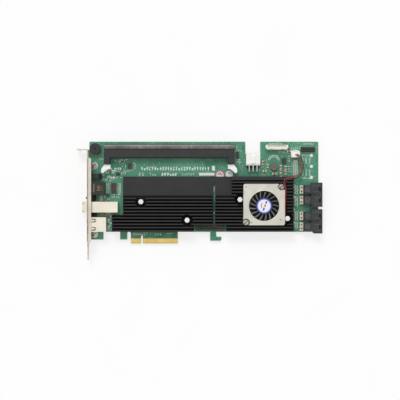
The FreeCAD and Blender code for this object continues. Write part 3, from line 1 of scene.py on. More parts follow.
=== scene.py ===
"""Looks of the raid controller card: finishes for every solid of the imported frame, and the fine pieces
that stand on it. Sizes in this file are millimetres in the frame's own axes; shells() turns them to metres.
"""
import bpy
import numpy as np
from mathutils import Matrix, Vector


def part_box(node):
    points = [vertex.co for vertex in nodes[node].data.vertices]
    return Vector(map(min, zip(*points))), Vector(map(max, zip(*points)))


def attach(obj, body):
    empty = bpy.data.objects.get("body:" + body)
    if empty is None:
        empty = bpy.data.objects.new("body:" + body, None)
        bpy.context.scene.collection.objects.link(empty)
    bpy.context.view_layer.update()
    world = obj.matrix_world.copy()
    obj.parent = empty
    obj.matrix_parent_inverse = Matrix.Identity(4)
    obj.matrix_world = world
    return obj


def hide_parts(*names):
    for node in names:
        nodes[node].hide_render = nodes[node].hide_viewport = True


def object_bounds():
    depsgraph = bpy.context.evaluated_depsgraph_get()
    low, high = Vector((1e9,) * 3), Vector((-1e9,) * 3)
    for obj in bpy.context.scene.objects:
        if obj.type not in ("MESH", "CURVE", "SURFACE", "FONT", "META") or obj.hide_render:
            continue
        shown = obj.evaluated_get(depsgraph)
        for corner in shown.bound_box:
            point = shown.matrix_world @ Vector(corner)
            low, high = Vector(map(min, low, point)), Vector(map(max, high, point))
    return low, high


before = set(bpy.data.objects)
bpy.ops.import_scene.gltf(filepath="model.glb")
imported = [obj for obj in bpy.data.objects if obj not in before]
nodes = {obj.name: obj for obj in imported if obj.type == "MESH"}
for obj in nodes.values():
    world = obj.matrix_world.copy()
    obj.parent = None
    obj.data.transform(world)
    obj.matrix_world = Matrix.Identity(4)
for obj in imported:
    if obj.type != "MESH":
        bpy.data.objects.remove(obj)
cad_low, cad_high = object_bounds()
chance = np.random.default_rng(7)


def box(node):
    """Lowest and highest corner of a solid's node, in millimetres."""
    low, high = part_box(node)
    return np.array(low) * 1000, np.array(high) * 1000


board_low, board_high = box("circuit_board")
face = board_high[2]
back = board_low[2]


# -------- camera and light
def placed(name, data):
    """A new object in the scene, with this data."""
    made = bpy.data.objects.new(name, data)
    bpy.context.scene.collection.objects.link(made)
    return made


def look_down(centre, distance, lens):
    """Camera straight above a point, its upper edge towards +Y."""
    camera = placed("camera", bpy.data.cameras.new("camera"))
    camera.data.lens = lens
    camera.data.sensor_width = 36.0
    camera.data.clip_start = 0.05
    camera.location = (centre[0] / 1000, centre[1] / 1000, distance / 1000)
    bpy.context.scene.camera = camera


def soft_sun(strength, tilt, turn, spread):
    """Broad lamp like a large soft window: tilt from overhead, turned about the upright."""
    lamp = placed("window_light", bpy.data.lights.new("window_light", "SUN"))
    lamp.data.energy = strength
    lamp.data.angle = np.radians(spread)
    lamp.rotation_euler = (np.radians(tilt), 0, np.radians(turn))


look_down((63.4, 47.5), 1100.0, 90.6)
soft_sun(1.3, -38.0, 14.0, 24.0)
bpy.context.scene.view_settings.view_transform = "Standard"


# -------- colours and nodes
MATH, MIX, NOISE = "ShaderNodeMath", "ShaderNodeMix", "ShaderNodeTexNoise"


def paint(code):
    """Linear colour from an sRGB hex value."""
    value = np.array([int(code[i:i + 2], 16) for i in (1, 3, 5)]) / 255
    linear = np.where(value <= 0.04045, value / 12.92, ((value + 0.055) / 1.055) ** 2.4)
    return (*linear.tolist(), 1.0)


def add(tree, kind, inputs=None, stops=None, **settings):
    """Adds a node: its settings, its ramp's stops, and its inputs, each a value, an output or another node, which
    stands for its first output."""
    made = tree.nodes.new(kind)
    for key, value in settings.items():
        setattr(made, key, value)
    if stops:
        ramp = made.color_ramp.elements
        while len(ramp) < len(stops):
            ramp.new(1.0)
        for element, (place, colour) in zip(ramp, stops):
            element.position = place
            element.color = paint(colour)
    for key, value in (inputs or {}).items():
        if isinstance(value, bpy.types.Node):
            value = value.outputs[0]
        if isinstance(value, bpy.types.NodeSocket):
            tree.links.new(value, made.inputs[key])
        else:
            made.inputs[key].default_value = value
    return made


def per_mm(size):
    """Texture scale on Object coordinates, which are metres, that makes one feature this many millimetres."""
    return 1000.0 / size


def new_finish(name):
    """An empty material as (material, tree, Principled shader, Object coordinates)."""
    made = bpy.data.materials.new(name)
    made.use_nodes = True
    tree = made.node_tree
    tree.nodes.clear()
    shader = add(tree, "ShaderNodeBsdfPrincipled")
    add(tree, "ShaderNodeOutputMaterial", {"Surface": shader})
    place = add(tree, "ShaderNodeTexCoord").outputs["Object"]
    return made, tree, shader, place


def skinned(tree, shader, tone, stops, grain, roughness, swing, strength, depth):
    """Gives a shader its colour by one value, and by another its gloss, which swings about a roughness, and a
    relief so many millimetres deep."""
    colour = add(tree, "ShaderNodeValToRGB", {"Fac": tone}, stops=stops)
    gloss = add(tree, "ShaderNodeMapRange", {"Value": grain, "To Min": roughness - swing, "To Max": roughness + swing})
    relief = add(tree, "ShaderNodeBump", {"Height": grain, "Strength": strength, "Distance": depth / 1000})
    for made, socket in ((colour, "Base Color"), (gloss, "Roughness"), (relief, "Normal")):
        tree.links.new(made.outputs[0], shader.inputs[socket])


def moulded(name, dark, light, grain, roughness, depth=0.02, **sockets):
    """Injection-moulded plastic: a mottled skin whose tone, gloss and fine relief follow a grain of one size."""
    made, tree, shader, place = new_finish(name)
    cloud = add(tree, NOISE, {"Vector": place, "Scale": per_mm(grain * 9), "Detail": 3.0})
    fine = add(tree, NOISE, {"Vector": place, "Scale": per_mm(grain), "Detail": 2.0})
    mixed = add(tree, MATH, {0: cloud, 1: fine}, operation="MULTIPLY")
    skinned(tree, shader, mixed, [(0.15, dark), (0.38, light)], fine, roughness, 0.07, 0.35, depth)
    for key, value in sockets.items():
        shader.inputs[key.replace("_", " ")].default_value = value
    return made


def worked_metal(name, dark, light, grain, roughness, stretch=(1, 1, 1), metallic=1.0, depth=0.01):
    """Rolled, drawn or extruded metal: streaks that are grain wide and run along the axis stretched least."""
    made, tree, shader, place = new_finish(name)
    along = add(tree, "ShaderNodeMapping", {"Vector": place, "Scale": stretch})
    streak = add(tree, NOISE, {"Vector": along, "Scale": per_mm(grain), "Detail": 4.0})
    stain = add(tree, NOISE, {"Vector": place, "Scale": per_mm(14.0), "Detail": 2.0})
    mixed = add(tree, MIX, {"Factor": 0.4, 2: streak, 3: stain})
    skinned(tree, shader, mixed, [(0.36, dark), (0.62, light)], streak, roughness, 0.08, 0.3, depth)
    shader.inputs["Metallic"].default_value = metallic
    return made


def darkened_by_painted_shade(material, level, dark, open_to=(-1000.0, 0.0)):
    """Painted shade: makes a finish fall to a dark one below a height in millimetres, over half a millimetre, as the
    shade where no light comes in; to the left of and above one point of the plan it stays open."""
    tree = material.node_tree
    shader = tree.nodes["Principled BSDF"]
    place = add(tree, "ShaderNodeTexCoord").outputs["Object"]
    x, y, z = add(tree, "ShaderNodeSeparateXYZ", {"Vector": place}).outputs
    share = add(tree, "ShaderNodeMapRange", {"Value": z, "From Min": (level - 0.5) / 1000, "From Max": level / 1000})
    left = add(tree, MATH, {0: x, 1: open_to[0] / 1000}, operation="LESS_THAN")
    above = add(tree, MATH, {0: y, 1: open_to[1] / 1000}, operation="GREATER_THAN")
    bare = add(tree, MATH, {0: left, 1: above}, operation="MULTIPLY")
    lit = add(tree, MATH, {0: share, 1: bare}, operation="MAXIMUM")
    tone = shader.inputs["Base Color"].links[0].from_socket
    mixed = add(tree, MIX, {0: lit, 6: paint(dark), 7: tone}, data_type="RGBA")
    tree.links.new(mixed.outputs[2], shader.inputs["Base Color"])
    gloss = shader.inputs["Roughness"].links[0].from_socket
    dull = add(tree, MIX, {0: lit, 2: 0.95, 3: gloss})
    tree.links.new(dull.outputs[0], shader.inputs["Roughness"])


def solder_mask():
    """Green solder mask over copper: the varnish shows the copper tracks and planes under it as paler lines
    and fields, tinned via rings as pale dots, and the bare glass laminate at the board's edge and between
    the edge contacts."""
    made, tree, shader, place = new_finish("solder_mask_on_laminate")
    # The green wanders over 38 mm. Fields 13 mm wide carry tracks 1.1 mm apart along X, along Y or aslant.
    tone = add(tree, NOISE, {"Vector": place, "Scale": per_mm(38.0), "Detail": 3.0})
    ground = add(tree, "ShaderNodeValToRGB", {"Fac": tone},
                 stops=[(0.34, "#1d6a4b"), (0.48, "#2f7d5f"), (0.66, "#4f9473")])
    fields = add(tree, "ShaderNodeTexVoronoi", {"Vector": place, "Scale": per_mm(13.0)}, distance="CHEBYCHEV")
    choice = add(tree, "ShaderNodeSeparateColor", {"Color": fields.outputs["Color"]})
    copper = 0.0
    for turn, low, high in ((0.0, 0.0, 0.3), (90.0, 0.3, 0.55), (45.0, 0.55, 0.8)):
        across = add(tree, "ShaderNodeMapping", {"Vector": place, "Rotation": (0, 0, np.radians(turn))})
        lines = add(tree, "ShaderNodeTexWave", {"Vector": across, "Scale": per_mm(1.1) / 3.1416},
                    bands_direction="Y")
        track = add(tree, MATH, {0: lines.outputs["Fac"], 1: 0.62}, operation="GREATER_THAN")
        for limit, side in ((low, "GREATER_THAN"), (high, "LESS_THAN")):
            field = add(tree, MATH, {0: choice, 1: limit}, operation=side)
            track = add(tree, MATH, {0: track, 1: field}, operation="MULTIPLY")
        copper = add(tree, MATH, {0: copper, 1: track}, operation="MAXIMUM")
    share = add(tree, MATH, {0: copper, 1: 0.55}, operation="MULTIPLY")
    # About half of the places on a 2.3 mm scatter carry a via's ring.
    vias = add(tree, "ShaderNodeTexVoronoi", {"Vector": place, "Scale": per_mm(2.3)})
    ring = add(tree, MATH, {0: vias.outputs["Distance"], 1: 0.17}, operation="LESS_THAN")
    some = add(tree, "ShaderNodeSeparateColor", {"Color": vias.outputs["Color"]})
    kept = add(tree, MATH, {0: some.outputs[1], 1: 0.45}, operation="GREATER_THAN")
    dots = add(tree, MATH, {0: ring, 1: kept}, operation="MULTIPLY")
    # Bare laminate: where the surface stands upright, and the tongue between and below the contacts.
    upright = add(tree, "ShaderNodeNewGeometry")
    parts = add(tree, "ShaderNodeSeparateXYZ", {"Vector": upright.outputs["Normal"]})
    level = add(tree, MATH, {0: parts.outputs[2]}, operation="ABSOLUTE")
    steep = add(tree, MATH, {0: level, 1: 0.5}, operation="LESS_THAN")
    x, y, _ = add(tree, "ShaderNodeSeparateXYZ", {"Vector": place}).outputs
    contact_low, contact_high = box("edge_contacts")
    tip = 1.0
    for value, limit, side in ((y, contact_high[1] - 0.2, "LESS_THAN"), (x, contact_low[0] - 0.8, "GREATER_THAN"),
                               (x, contact_high[0] + 0.8, "LESS_THAN")):
        within = add(tree, MATH, {0: value, 1: limit / 1000}, operation=side)
        tip = add(tree, MATH, {0: tip, 1: within}, operation="MULTIPLY")
    colour = ground
    for part, code in ((share, "#6aa385"), (dots, "#c3d5b9"), (steep, "#7da06a"), (tip, "#cdb565")):
        colour = add(tree, MIX, {0: part, 6: colour, 7: paint(code)}, data_type="RGBA").outputs[2]
    relief = add(tree, "ShaderNodeBump", {"Height": copper, "Strength": 0.5, "Distance": 0.00003})
    tree.links.new(colour, shader.inputs["Base Color"])
    tree.links.new(relief.outputs[0], shader.inputs["Normal"])
    shader.inputs["Roughness"].default_value = 0.38
    return made


def printed_label():
    """Paper hub label under clear varnish: white in the middle, and a blue ring that darkens to navy at the
    rim, from the distance to the hub's axis."""
    low, high = box("fan_hub_label")
    centre = (low + high) / 2000
    made, tree, shader, place = new_finish("varnished_paper_label")
    centred = add(tree, "ShaderNodeMapping", {"Vector": place, "Location": (-centre[0], -centre[1], -centre[2])})
    reach = add(tree, "ShaderNodeVectorMath", {0: centred, 1: (1, 1, 0)}, operation="MULTIPLY")
    length = add(tree, "ShaderNodeVectorMath", {0: reach}, operation="LENGTH")
    share = add(tree, MATH, {0: length.outputs["Value"], 1: 2000 / (high[0] - low[0])}, operation="MULTIPLY")
    fibre = add(tree, NOISE, {"Vector": place, "Scale": per_mm(0.6), "Detail": 3.0})
    tone = add(tree, "ShaderNodeValToRGB", {"Fac": share},
               stops=[(0.0, "#f4f4f2"), (0.76, "#eef0f4"), (0.81, "#6d74d8"), (0.9, "#4a50b4"), (0.97, "#23264e")])
    shade = add(tree, "ShaderNodeMapRange", {"Value": fibre, "To Min": 0.93, "To Max": 1.0})
    colour = add(tree, MIX, {0: 1.0, 6: tone, 7: shade}, data_type="RGBA",
                 blend_type="MULTIPLY")
    tree.links.new(colour.outputs[2], shader.inputs["Base Color"])
    shader.inputs["Roughness"].default_value = 0.3
    return made


# -------- finishes by what the real ones are
# Each has its darkest and its palest tone, the width of its grain in millimetres and its roughness.
# Nylon, PBT and LCP mouldings: a fine spark-eroded skin, matt black to soft grey where it faces the light.
black_plastic = moulded("black_glass_filled_nylon", "#090909", "#1d1c1c", 0.7, 0.42)
housing_plastic = moulded("black_connector_plastic", "#121315", "#343538", 1.1, 0.4)
wafer_plastic = moulded("charcoal_connector_plastic", "#1f2023", "#393a3e", 0.5, 0.45)
lit_copy_plastic = moulded("connector_plastic_painted_light", "#2a2b2e", "#4b4c50", 0.7, 0.4)
# The socket's rail and the tops of the blades are given a grey colour: a painted reflection of the room on black
# plastic.
painted_highlight_nylon = moulded("black_nylon_painted_highlight", "#4e4d4b", "#7d7b77", 2.4, 0.25, 0.02)
blade_painted_light = moulded("black_impeller_painted_highlight", "#6d6c69", "#8f8e8a", 0.8, 0.25, 0.01)
hub_plastic = moulded("black_hub_plastic", "#0b0b0c", "#1f2022", 0.8, 0.25, 0.01)
lamp_plastic = moulded("smoked_lamp_plastic", "#4c4038", "#75675b", 0.6, 0.12, 0.005, Transmission_Weight=0.2)
# Uncoloured and whitened nylon lets a little light into its skin.
white_nylon = moulded("white_nylon", "#efeee8", "#faf9f5", 0.8, 0.38, 0.015, Subsurface_Weight=0.08)
cream_nylon = moulded("cream_nylon", "#d3cab2", "#e9e1cb", 0.7, 0.42, 0.015, Subsurface_Weight=0.05)
pale_nylon = moulded("natural_nylon", "#e6e1d1", "#f6f2e6", 0.7, 0.42, 0.015, Subsurface_Weight=0.05)
# Chips, ceramics and pressed powders: dry and fine-grained, with hardly any shine.
chip_epoxy = moulded("epoxy_moulding_compound", "#262120", "#3b3432", 0.3, 0.55)
chip_ceramic = moulded("dark_chip_substrate", "#1d2420", "#2f3531", 0.4, 0.4)
silicone_pad = moulded("grey_silicone_pad", "#6f7f86", "#8b9aa1", 0.4, 0.7)
magnet_compound = moulded("bonded_ferrite", "#3a3836", "#4d4a47", 0.3, 0.6)
choke_compound = moulded("pressed_iron_powder", "#564d47", "#7b716a", 0.35, 0.6, 0.04)
capacitor_ceramic = moulded("tan_ceramic", "#7a5538", "#a67d55", 0.4, 0.45)
small_ceramic = moulded("sand_ceramic", "#8f7358", "#b79a78", 0.3, 0.45)
resistor_film = moulded("black_resistor_film", "#191919", "#2c2c2c", 0.2, 0.4)
black_board = moulded("black_solder_mask", "#0b0c0c", "#181a19", 0.7, 0.5, 0.01)
# Painted shade: a near-black brown, laid as thin sheets and plugs in slots, cuts, holes and dimples and under a step.
shade_sheet_finish = moulded("painted_shade_sheets", "#1d1814", "#332a22", 0.3, 0.7)
# PVC insulation has a smooth drawn skin with a soft sheen.
red_insulation = moulded("red_pvc_insulation", "#8f1420", "#b92631", 0.6, 0.35, 0.01)
black_insulation = moulded("black_pvc_insulation", "#161314", "#2a2627", 0.6, 0.35, 0.01)
# Inks and paper: thin, flat and slightly uneven in cover; the thin white ink lets the green through.
silk_ink = moulded("white_epoxy_ink", "#d6ddd2", "#f0f3ee", 0.25, 0.55, 0.01)
grey_ink = moulded("thin_white_ink", "#9db8a4", "#c6d3c4", 0.3, 0.6, 0.01)
orange_ink = moulded("orange_label_ink", "#cf4a1d", "#e2632f", 0.4, 0.45, 0.005)
blue_ink = moulded("blue_label_ink", "#2b4fb0", "#456ad0", 0.3, 0.4, 0.005)
violet_ink = moulded("violet_label_ink", "#5f4a9c", "#7c66b8", 0.3, 0.4, 0.005)
label_paper = moulded("white_paper_label", "#e2e4e4", "#f3f4f4", 0.5, 0.5, 0.005)
# Bare and plated metals keep the rolling, drawing or casting lines of how they were made.
shield_steel = worked_metal("tinned_sheet_steel", "#d1cab9", "#e2dccd", 0.35, 0.42, (1, 1, 0.2))
fan_casting = worked_metal("satin_aluminium_casting", "#b5b2a7", "#cfccc3", 0.35, 0.46)
screw_steel = worked_metal("passivated_screw_steel", "#6f6962", "#c9c3b8", 0.7, 0.25, (0.4, 1, 1))
spring_steel = worked_metal("spring_steel", "#a8a49d", "#cfccc6", 0.3, 0.3, (1, 1, 0.3))
tin_plate = worked_metal("tinned_brass", "#a3a49c", "#cbccc4", 0.3, 0.32, (1, 1, 0.3))
solder_tin = worked_metal("solder", "#a9aca7", "#d3d5d0", 0.3, 0.25)
copper_wire = worked_metal("enamelled_copper", "#8c4f26", "#c07b45", 0.25, 0.35, (1, 1, 6))
bronze = worked_metal("sintered_bronze", "#7d5b35", "#a67f50", 0.2, 0.5)
ground_steel = worked_metal("ground_steel", "#a9aaab", "#d0d1d2", 0.3, 0.2, (1, 1, 0.1))
# Plating on the bracket is milky. The darker copy along the fold is painted shade; the pale copy on the wall that
# faces the light is painted light.
bracket_steel = worked_metal("nickel_plated_steel", "#b9b0a1", "#dcd4c5", 0.5, 0.4, (1, 0.12, 0.12), 0.6)
fold_shade_steel = worked_metal("bracket_fold_painted_shade", "#857b70", "#a3998c", 0.5, 0.5, (1, 0.12, 0.12), 0.2)
wall_light_steel = worked_metal("nickel_plating_painted_light", "#dedbd0", "#f0eee6", 0.5, 0.5, (1, 0.2, 0.2), 0.1)
# Gold stays warm and bright where it is hard plated; the browner copies on the thin pins and the jack's comb are
# partly thin plating and partly painted shade.
gold_plate = worked_metal("hard_gold_plating", "#cfae5a", "#efd68c", 0.5, 0.3, (1, 0.15, 1))
comb_brass = worked_metal("brass_and_painted_shade", "#5a5040", "#8d8168", 0.3, 0.5, (1, 1, 1), 0.3)
pin_plate = worked_metal("pin_plating_and_painted_shade", "#5b533f", "#a09270", 0.3, 0.35)
# Near-black washer steel: partly the steel's own dark finish, partly painted shade round the screw heads.
washer_shade_steel = worked_metal("washer_steel_and_painted_shade", "#1f1b19", "#453c36", 0.4, 0.3)
# Black anodised aluminium, extruded along X and sawn: hard matt skin with faint drawing lines. Painted shade: it falls
# to near black half a millimetre below the tops of the fins, but not on the low plate at the upper left.
black_anodised = worked_metal("black_anodised_aluminium", "#0d0d0d", "#1c1c1b", 0.45, 0.42, (0.06, 1, 1), 0.15)
darkened_by_painted_shade(black_anodised, box("heatsink")[1][2] - 0.5, "#020202", (box("fan_frame")[0][0] - 12.4, 52.4))
# Painted highlight and shade: the blades keep their painted grey at the top and fall to near black 1.2 mm lower, the
# shade between them.
darkened_by_painted_shade(blade_painted_light, box("fan_rotor")[1][2] - 1.2, "#030303")
mask = solder_mask()
hub_print = printed_label()

FINISHES = {
    mask: "circuit_board",
    gold_plate: "edge_contacts network_jack_contacts",
    pin_plate: "serial_jack_contacts corner_header_pins bottom_header_pins",
    bracket_steel: "mounting_bracket",
    shield_steel: "network_jack_shield external_sas_cage",
    black_plastic: "network_jack_body serial_jack_body external_sas_receptacle lower_led_block upper_led_block "
                   "buzzer memory_socket corner_header bottom_header",
    housing_plastic: "upper_sas_housing lower_sas_housing",
    wafer_plastic: "sas_wafer_bodies",
    white_nylon: "left_memory_latch right_memory_latch push_pins power_header fan_header fan_plug",
    cream_nylon: "sas_organisers",
    pale_nylon: "wafer_connector wafer_pins",
    black_anodised: "heatsink",
    fan_casting: "fan_frame",
    hub_plastic: "fan_rotor",
    screw_steel: "bracket_screws fan_screws",
    tin_plate: "power_header_pins",
    chip_ceramic: "main_processor expander_chip",
    chip_epoxy: "power_regulator serial_driver support_chips",
    capacitor_ceramic: "power_capacitors",
    small_ceramic: "chip_capacitors",
    resistor_film: "chip_resistors",
    choke_compound: "inductor",
    silicone_pad: "thermal_pads",
    copper_wire: "fan_stator",
    bronze: "fan_bearing",
    ground_steel: "fan_shaft",
    magnet_compound: "fan_magnet",
    hub_print: "fan_hub_label",
    red_insulation: "fan_wire_red",
    black_insulation: "fan_wire_black",
    lamp_plastic: "led_lenses",
    solder_tin: "solder_joints",
}
for finish, members in FINISHES.items():
    for member in members.split():
        for material_slot in nodes[member].material_slots:
            material_slot.material = finish


# -------- fan leads
WIRE = 1.1
RED_ROUTE = [
    (154.2, 21.2, 7.6), (155.7, 22.9, 7.6), (155.8, 26.6, 7.7), (155.8, 33.0, 8.2), (156.0, 43.0, 10.0),
    (156.0, 53.0, 12.2), (155.9, 60.0, 13.2), (153.5, 66.4, 13.8), (155.3, 70.8, 13.5), (160.8, 71.4, 13.2),
    (166.6, 72.4, 12.9), (171.0, 75.8, 9.8), (173.4, 80.8, 7.6), (173.6, 86.2, 9.0), (171.6, 91.2, 12.0),
    (168.8, 95.1, 12.35), (167.4, 96.7, 10.2), (167.4, 96.7, 7.2)]
BLACK_ROUTE = [
    (154.2, 23.4, 5.8), (155.7, 25.1, 5.8), (155.9, 28.8, 5.9), (155.9, 35.2, 6.4), (156.2, 45.2, 8.3),
    (156.4, 54.8, 10.6), (156.4, 61.2, 12.7), (155.3, 66.6, 13.4), (157.3, 69.6, 13.3), (162.8, 69.8, 13.1),
    (168.4, 71.0, 12.6), (173.0, 74.8, 9.0), (175.3, 80.4, 6.7), (175.4, 86.4, 8.4), (173.5, 91.6, 11.8),
    (170.8, 95.1, 12.35), (169.4, 96.7, 10.2), (169.4, 96.7, 7.2)]


def lead(name, route, finish, replaced):
    """Limp insulated lead on a smooth curve drawn by its route's points, from the fan's frame to its plug."""
    curve = bpy.data.curves.new(name, "CURVE")
    curve.dimensions = "3D"
    spline = curve.splines.new("NURBS")
    points = np.array([(x, y, face + level, 1000.0) for x, y, level in route]) / 1000
    spline.points.add(len(points) - 1)
    spline.points.foreach_set("co", points.ravel())
    spline.order_u = 3
    spline.use_endpoint_u = True
    spline.resolution_u = 12
    curve.bevel_depth = WIRE / 2000
    curve.bevel_resolution = 5
    curve.use_fill_caps = True
    curve.materials.append(finish)
    made = placed(name, curve)
    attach(made, "card")
    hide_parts(replaced)
    return made


lead("red_fan_lead", RED_ROUTE, red_insulation, "fan_wire_red")
lead("black_fan_lead", BLACK_ROUTE, black_insulation, "fan_wire_black")


# -------- surfaces
def points(x, y, z):
    """Points (..., xyz) from three coordinates, each a number or rows of numbers."""
    return np.stack(np.broadcast_arrays(x, y, z), -1).astype(float)


def bars(x0, y0, x1, y1, z):
    """Level paths (bar, end, xyz) from (x0, y0) to (x1, y1), each a number or a row of numbers."""
    x0, y0, x1, y1, z = np.broadcast_arrays(*np.atleast_1d(x0, y0, x1, y1, z))
    return np.stack([points(x0, y0, z), points(x1, y1, z)], 1)


def shells(name, rings, finish, body="card", smooth=False, looped=False):
    """One object of closed skins. rings is (skin, row, column, xyz): a skin runs round each row of points,
    anticlockwise seen from above, and up from row to row. Its first and last rows are closed flat or, where
    it is looped, joined to each other."""
    rings = np.asarray(rings, float)
    skins, rows, columns, _ = rings.shape
    index = np.arange(skins * rows * columns).reshape(skins, rows, columns)
    low, high = (index, np.roll(index, -1, 1)) if looped else (index[:, :-1], index[:, 1:])
    sides = np.stack([low, np.roll(low, -1, 2), np.roll(high, -1, 2), high], -1).reshape(-1, 4)
    faces = sides.tolist()
    if not looped:
        faces += index[:, 0, ::-1].tolist() + index[:, -1].tolist()
    mesh = bpy.data.meshes.new(name)
    mesh.from_pydata(rings.reshape(-1, 3) / 1000, [], faces)
    mesh.materials.append(finish)
    if smooth:
        mesh.shade_smooth()
        mesh.set_sharp_from_angle(angle=np.radians(40))
    made = placed(name, mesh)
    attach(made, body)
    return made


def soft_blocks(low, high, edge, corner=None, steps=3):
    """Rings of upright blocks with rounded upper edges, one for each pair of corners. The plan is a rounded
    rectangle: corner centres plus radius times (cos, sin) of an angle through each quarter. Towards the top
    the plan draws in by edge times (1 - cos t) while it rises by edge times sin t."""
    low, high = np.atleast_2d(low).astype(float), np.atleast_2d(high).astype(float)
    corner = max(edge, corner or edge)
    quarter = np.radians(np.arange(4)[:, None] * 90 + np.linspace(0, 90, steps)).ravel()
    signs = np.repeat(np.array([(1, 1), (-1, 1), (-1, -1), (1, -1)]), steps, 0)
    rise = np.radians(np.linspace(0, 90, steps))
    inset = np.concatenate([[0.0], edge * (1 - np.cos(rise))])
    middle = (low + high)[:, :2] / 2
    arms = (high - low)[:, :2] / 2 - corner
    spread = np.stack([np.cos(quarter), np.sin(quarter)], -1)
    plan = middle[:, None, None] + arms[:, None, None] * signs \
        + (corner - inset)[None, :, None, None] * spread
    level = np.concatenate([low[:, 2:], high[:, 2:] - edge + edge * np.sin(rise)], 1)
    return np.concatenate([plan, np.broadcast_to(level[:, :, None, None], plan.shape[:3] + (1,))], -1)


def turned(places, profile, sides):
    """Rings of forms turned about upright axes: each row is the circle of a profile's (radius, height)."""
    places = np.atleast_2d(places).astype(float)
    radius, level = np.array(profile, float).T
    angle = np.arange(sides) * 2 * np.pi / sides
    circle = np.stack([np.cos(angle), np.sin(angle), 0 * angle], -1)
    rows = radius[:, None, None] * circle + np.stack([0 * level, 0 * level, level], -1)[:, None]
    return places[:, None, None] + rows


def ribbons(paths, width, thickness):
    """Rings of flat bars along lines of points (bar, point, xyz): each ring is a rectangle that reaches half
    the width to each side, level and square to the line, and the thickness upwards from it."""
    paths = np.asarray(paths, float)
    along = np.gradient(paths, axis=1)
    across = np.stack([along[..., 1], -along[..., 0], 0 * along[..., 0]], -1)
    across /= np.linalg.norm(across, axis=-1, keepdims=True)
    up = np.cross(across, along)
    up *= thickness / np.linalg.norm(up, axis=-1, keepdims=True)
    across = across * width / 2
    return np.stack([paths - across, paths - across + up, paths + across + up, paths + across], 2)


def swept(paths, radius, sides):
    """Rings of round bars along lines of points (bar, point, xyz): each ring is radius times
    (cos a across + sin a aside) about its point, square to the line's direction there."""
    paths = np.asarray(paths, float)
    along = np.gradient(paths, axis=1)
    along /= np.linalg.norm(along, axis=-1, keepdims=True)
    upright = np.array([0.013, 0.021, 1.0])
    across = np.cross(upright, along)
    across /= np.linalg.norm(across, axis=-1, keepdims=True)
    aside = np.cross(along, across)
    angle = np.arange(sides) * 2 * np.pi / sides
    ring = np.cos(angle)[:, None] * across[..., None, :] + np.sin(angle)[:, None] * aside[..., None, :]
    return paths[..., None, :] + radius * ring


def solids_of(node):
    """Boxes of a node's separate solids, (solid, lowest or highest, xyz): points at one place share a number,
    and the points of every triangle take the least of their numbers until none changes."""
    mesh = nodes[node].data
    points = np.empty(len(mesh.vertices) * 3)
    mesh.vertices.foreach_get("co", points)
    points = points.reshape(-1, 3) * 1000
    corners = np.empty(len(mesh.loops), int)
    mesh.loops.foreach_get("vertex_index", corners)
    _, same = np.unique(np.round(points, 3), axis=0, return_inverse=True)
    same = same.ravel()
    faces = same[corners.reshape(-1, 3)]
    label = np.arange(same.max() + 1)
    changed = True
    while changed:
        least = label.copy()
        np.minimum.at(least, faces.ravel(), np.repeat(label[faces].min(1), 3))
        least = least[least]
        changed = bool((least != label).any())
        label = least
    group = label[same]
    return np.array([(points[group == key].min(0), points[group == key].max(0)) for key in np.unique(group)])


def middles(boxes, level):
    """Points at the middles of boxes in plan, at a level."""
    x, y = boxes[:, :, :2].mean(1).T
    return points(x, y, level)


# -------- floor and room
def seen_rays(tree):
    """1 for rays from the camera, in a mirror or through plastic, and 0 for those that light a surface."""
    ray = add(tree, "ShaderNodeLightPath").outputs
    seen = add(tree, MATH, {0: ray["Is Camera Ray"], 1: ray["Is Glossy Ray"]}, operation="MAXIMUM")
    return add(tree, MATH, {0: seen, 1: ray["Is Transmission Ray"]}, operation="MAXIMUM")


def pale_floor(size):
    """Plain pale floor under the card, level with the bracket's edge, with the soft shadow left on it."""
    made, tree, shader, place = new_finish("matt_white_floor")
    grain = add(tree, NOISE, {"Vector": place, "Scale": per_mm(60.0)})
    tone = add(tree, "ShaderNodeValToRGB", {"Fac": grain}, stops=[(0.3, "#fbfbfb"), (0.7, "#fefefe")])
    tree.links.new(tone.outputs[0], shader.inputs["Base Color"])
    shader.inputs["Roughness"].default_value = 0.9
    shader.inputs["Specular IOR Level"].default_value = 0.0
    paper = add(tree, "ShaderNodeEmission", {"Color": (1, 1, 1, 1), "Strength": 1.0})
    share = add(tree, MATH, {0: seen_rays(tree), 1: 0.7}, operation="MULTIPLY")
    mixed = add(tree, "ShaderNodeMixShader", {0: share, 1: shader, 2: paper})
    tree.links.new(mixed.outputs[0], tree.nodes["Material Output"].inputs["Surface"])
    mesh = bpy.data.meshes.new("floor")
    half = size / 2000
    level = cad_low[2]
    mesh.from_pydata([(-half, -half, level), (half, -half, level), (half, half, level), (-half, half, level)], [],
                     [(0, 1, 2, 3)])
    mesh.materials.append(made)
    placed("floor", mesh)


def soft_room(level):
    """Even pale room light; seen directly, in metal or through plastic, the room is white."""
    world = bpy.data.worlds.new("room")
    bpy.context.scene.world = world
    world.use_nodes = True
    tree = world.node_tree
    tree.nodes.clear()
    light = add(tree, "ShaderNodeBackground", {"Color": (level, level, level, 1), "Strength": 1.0})
    white = add(tree, "ShaderNodeBackground", {"Color": (1, 1, 1, 1), "Strength": 1.0})
    mixed = add(tree, "ShaderNodeMixShader", {0: seen_rays(tree), 1: light, 2: white})
    add(tree, "ShaderNodeOutputWorld", {"Surface": mixed})


pale_floor(6000)
soft_room(0.66)

# -------- chip parts with their end caps
UP = np.array((0, 0, 1))


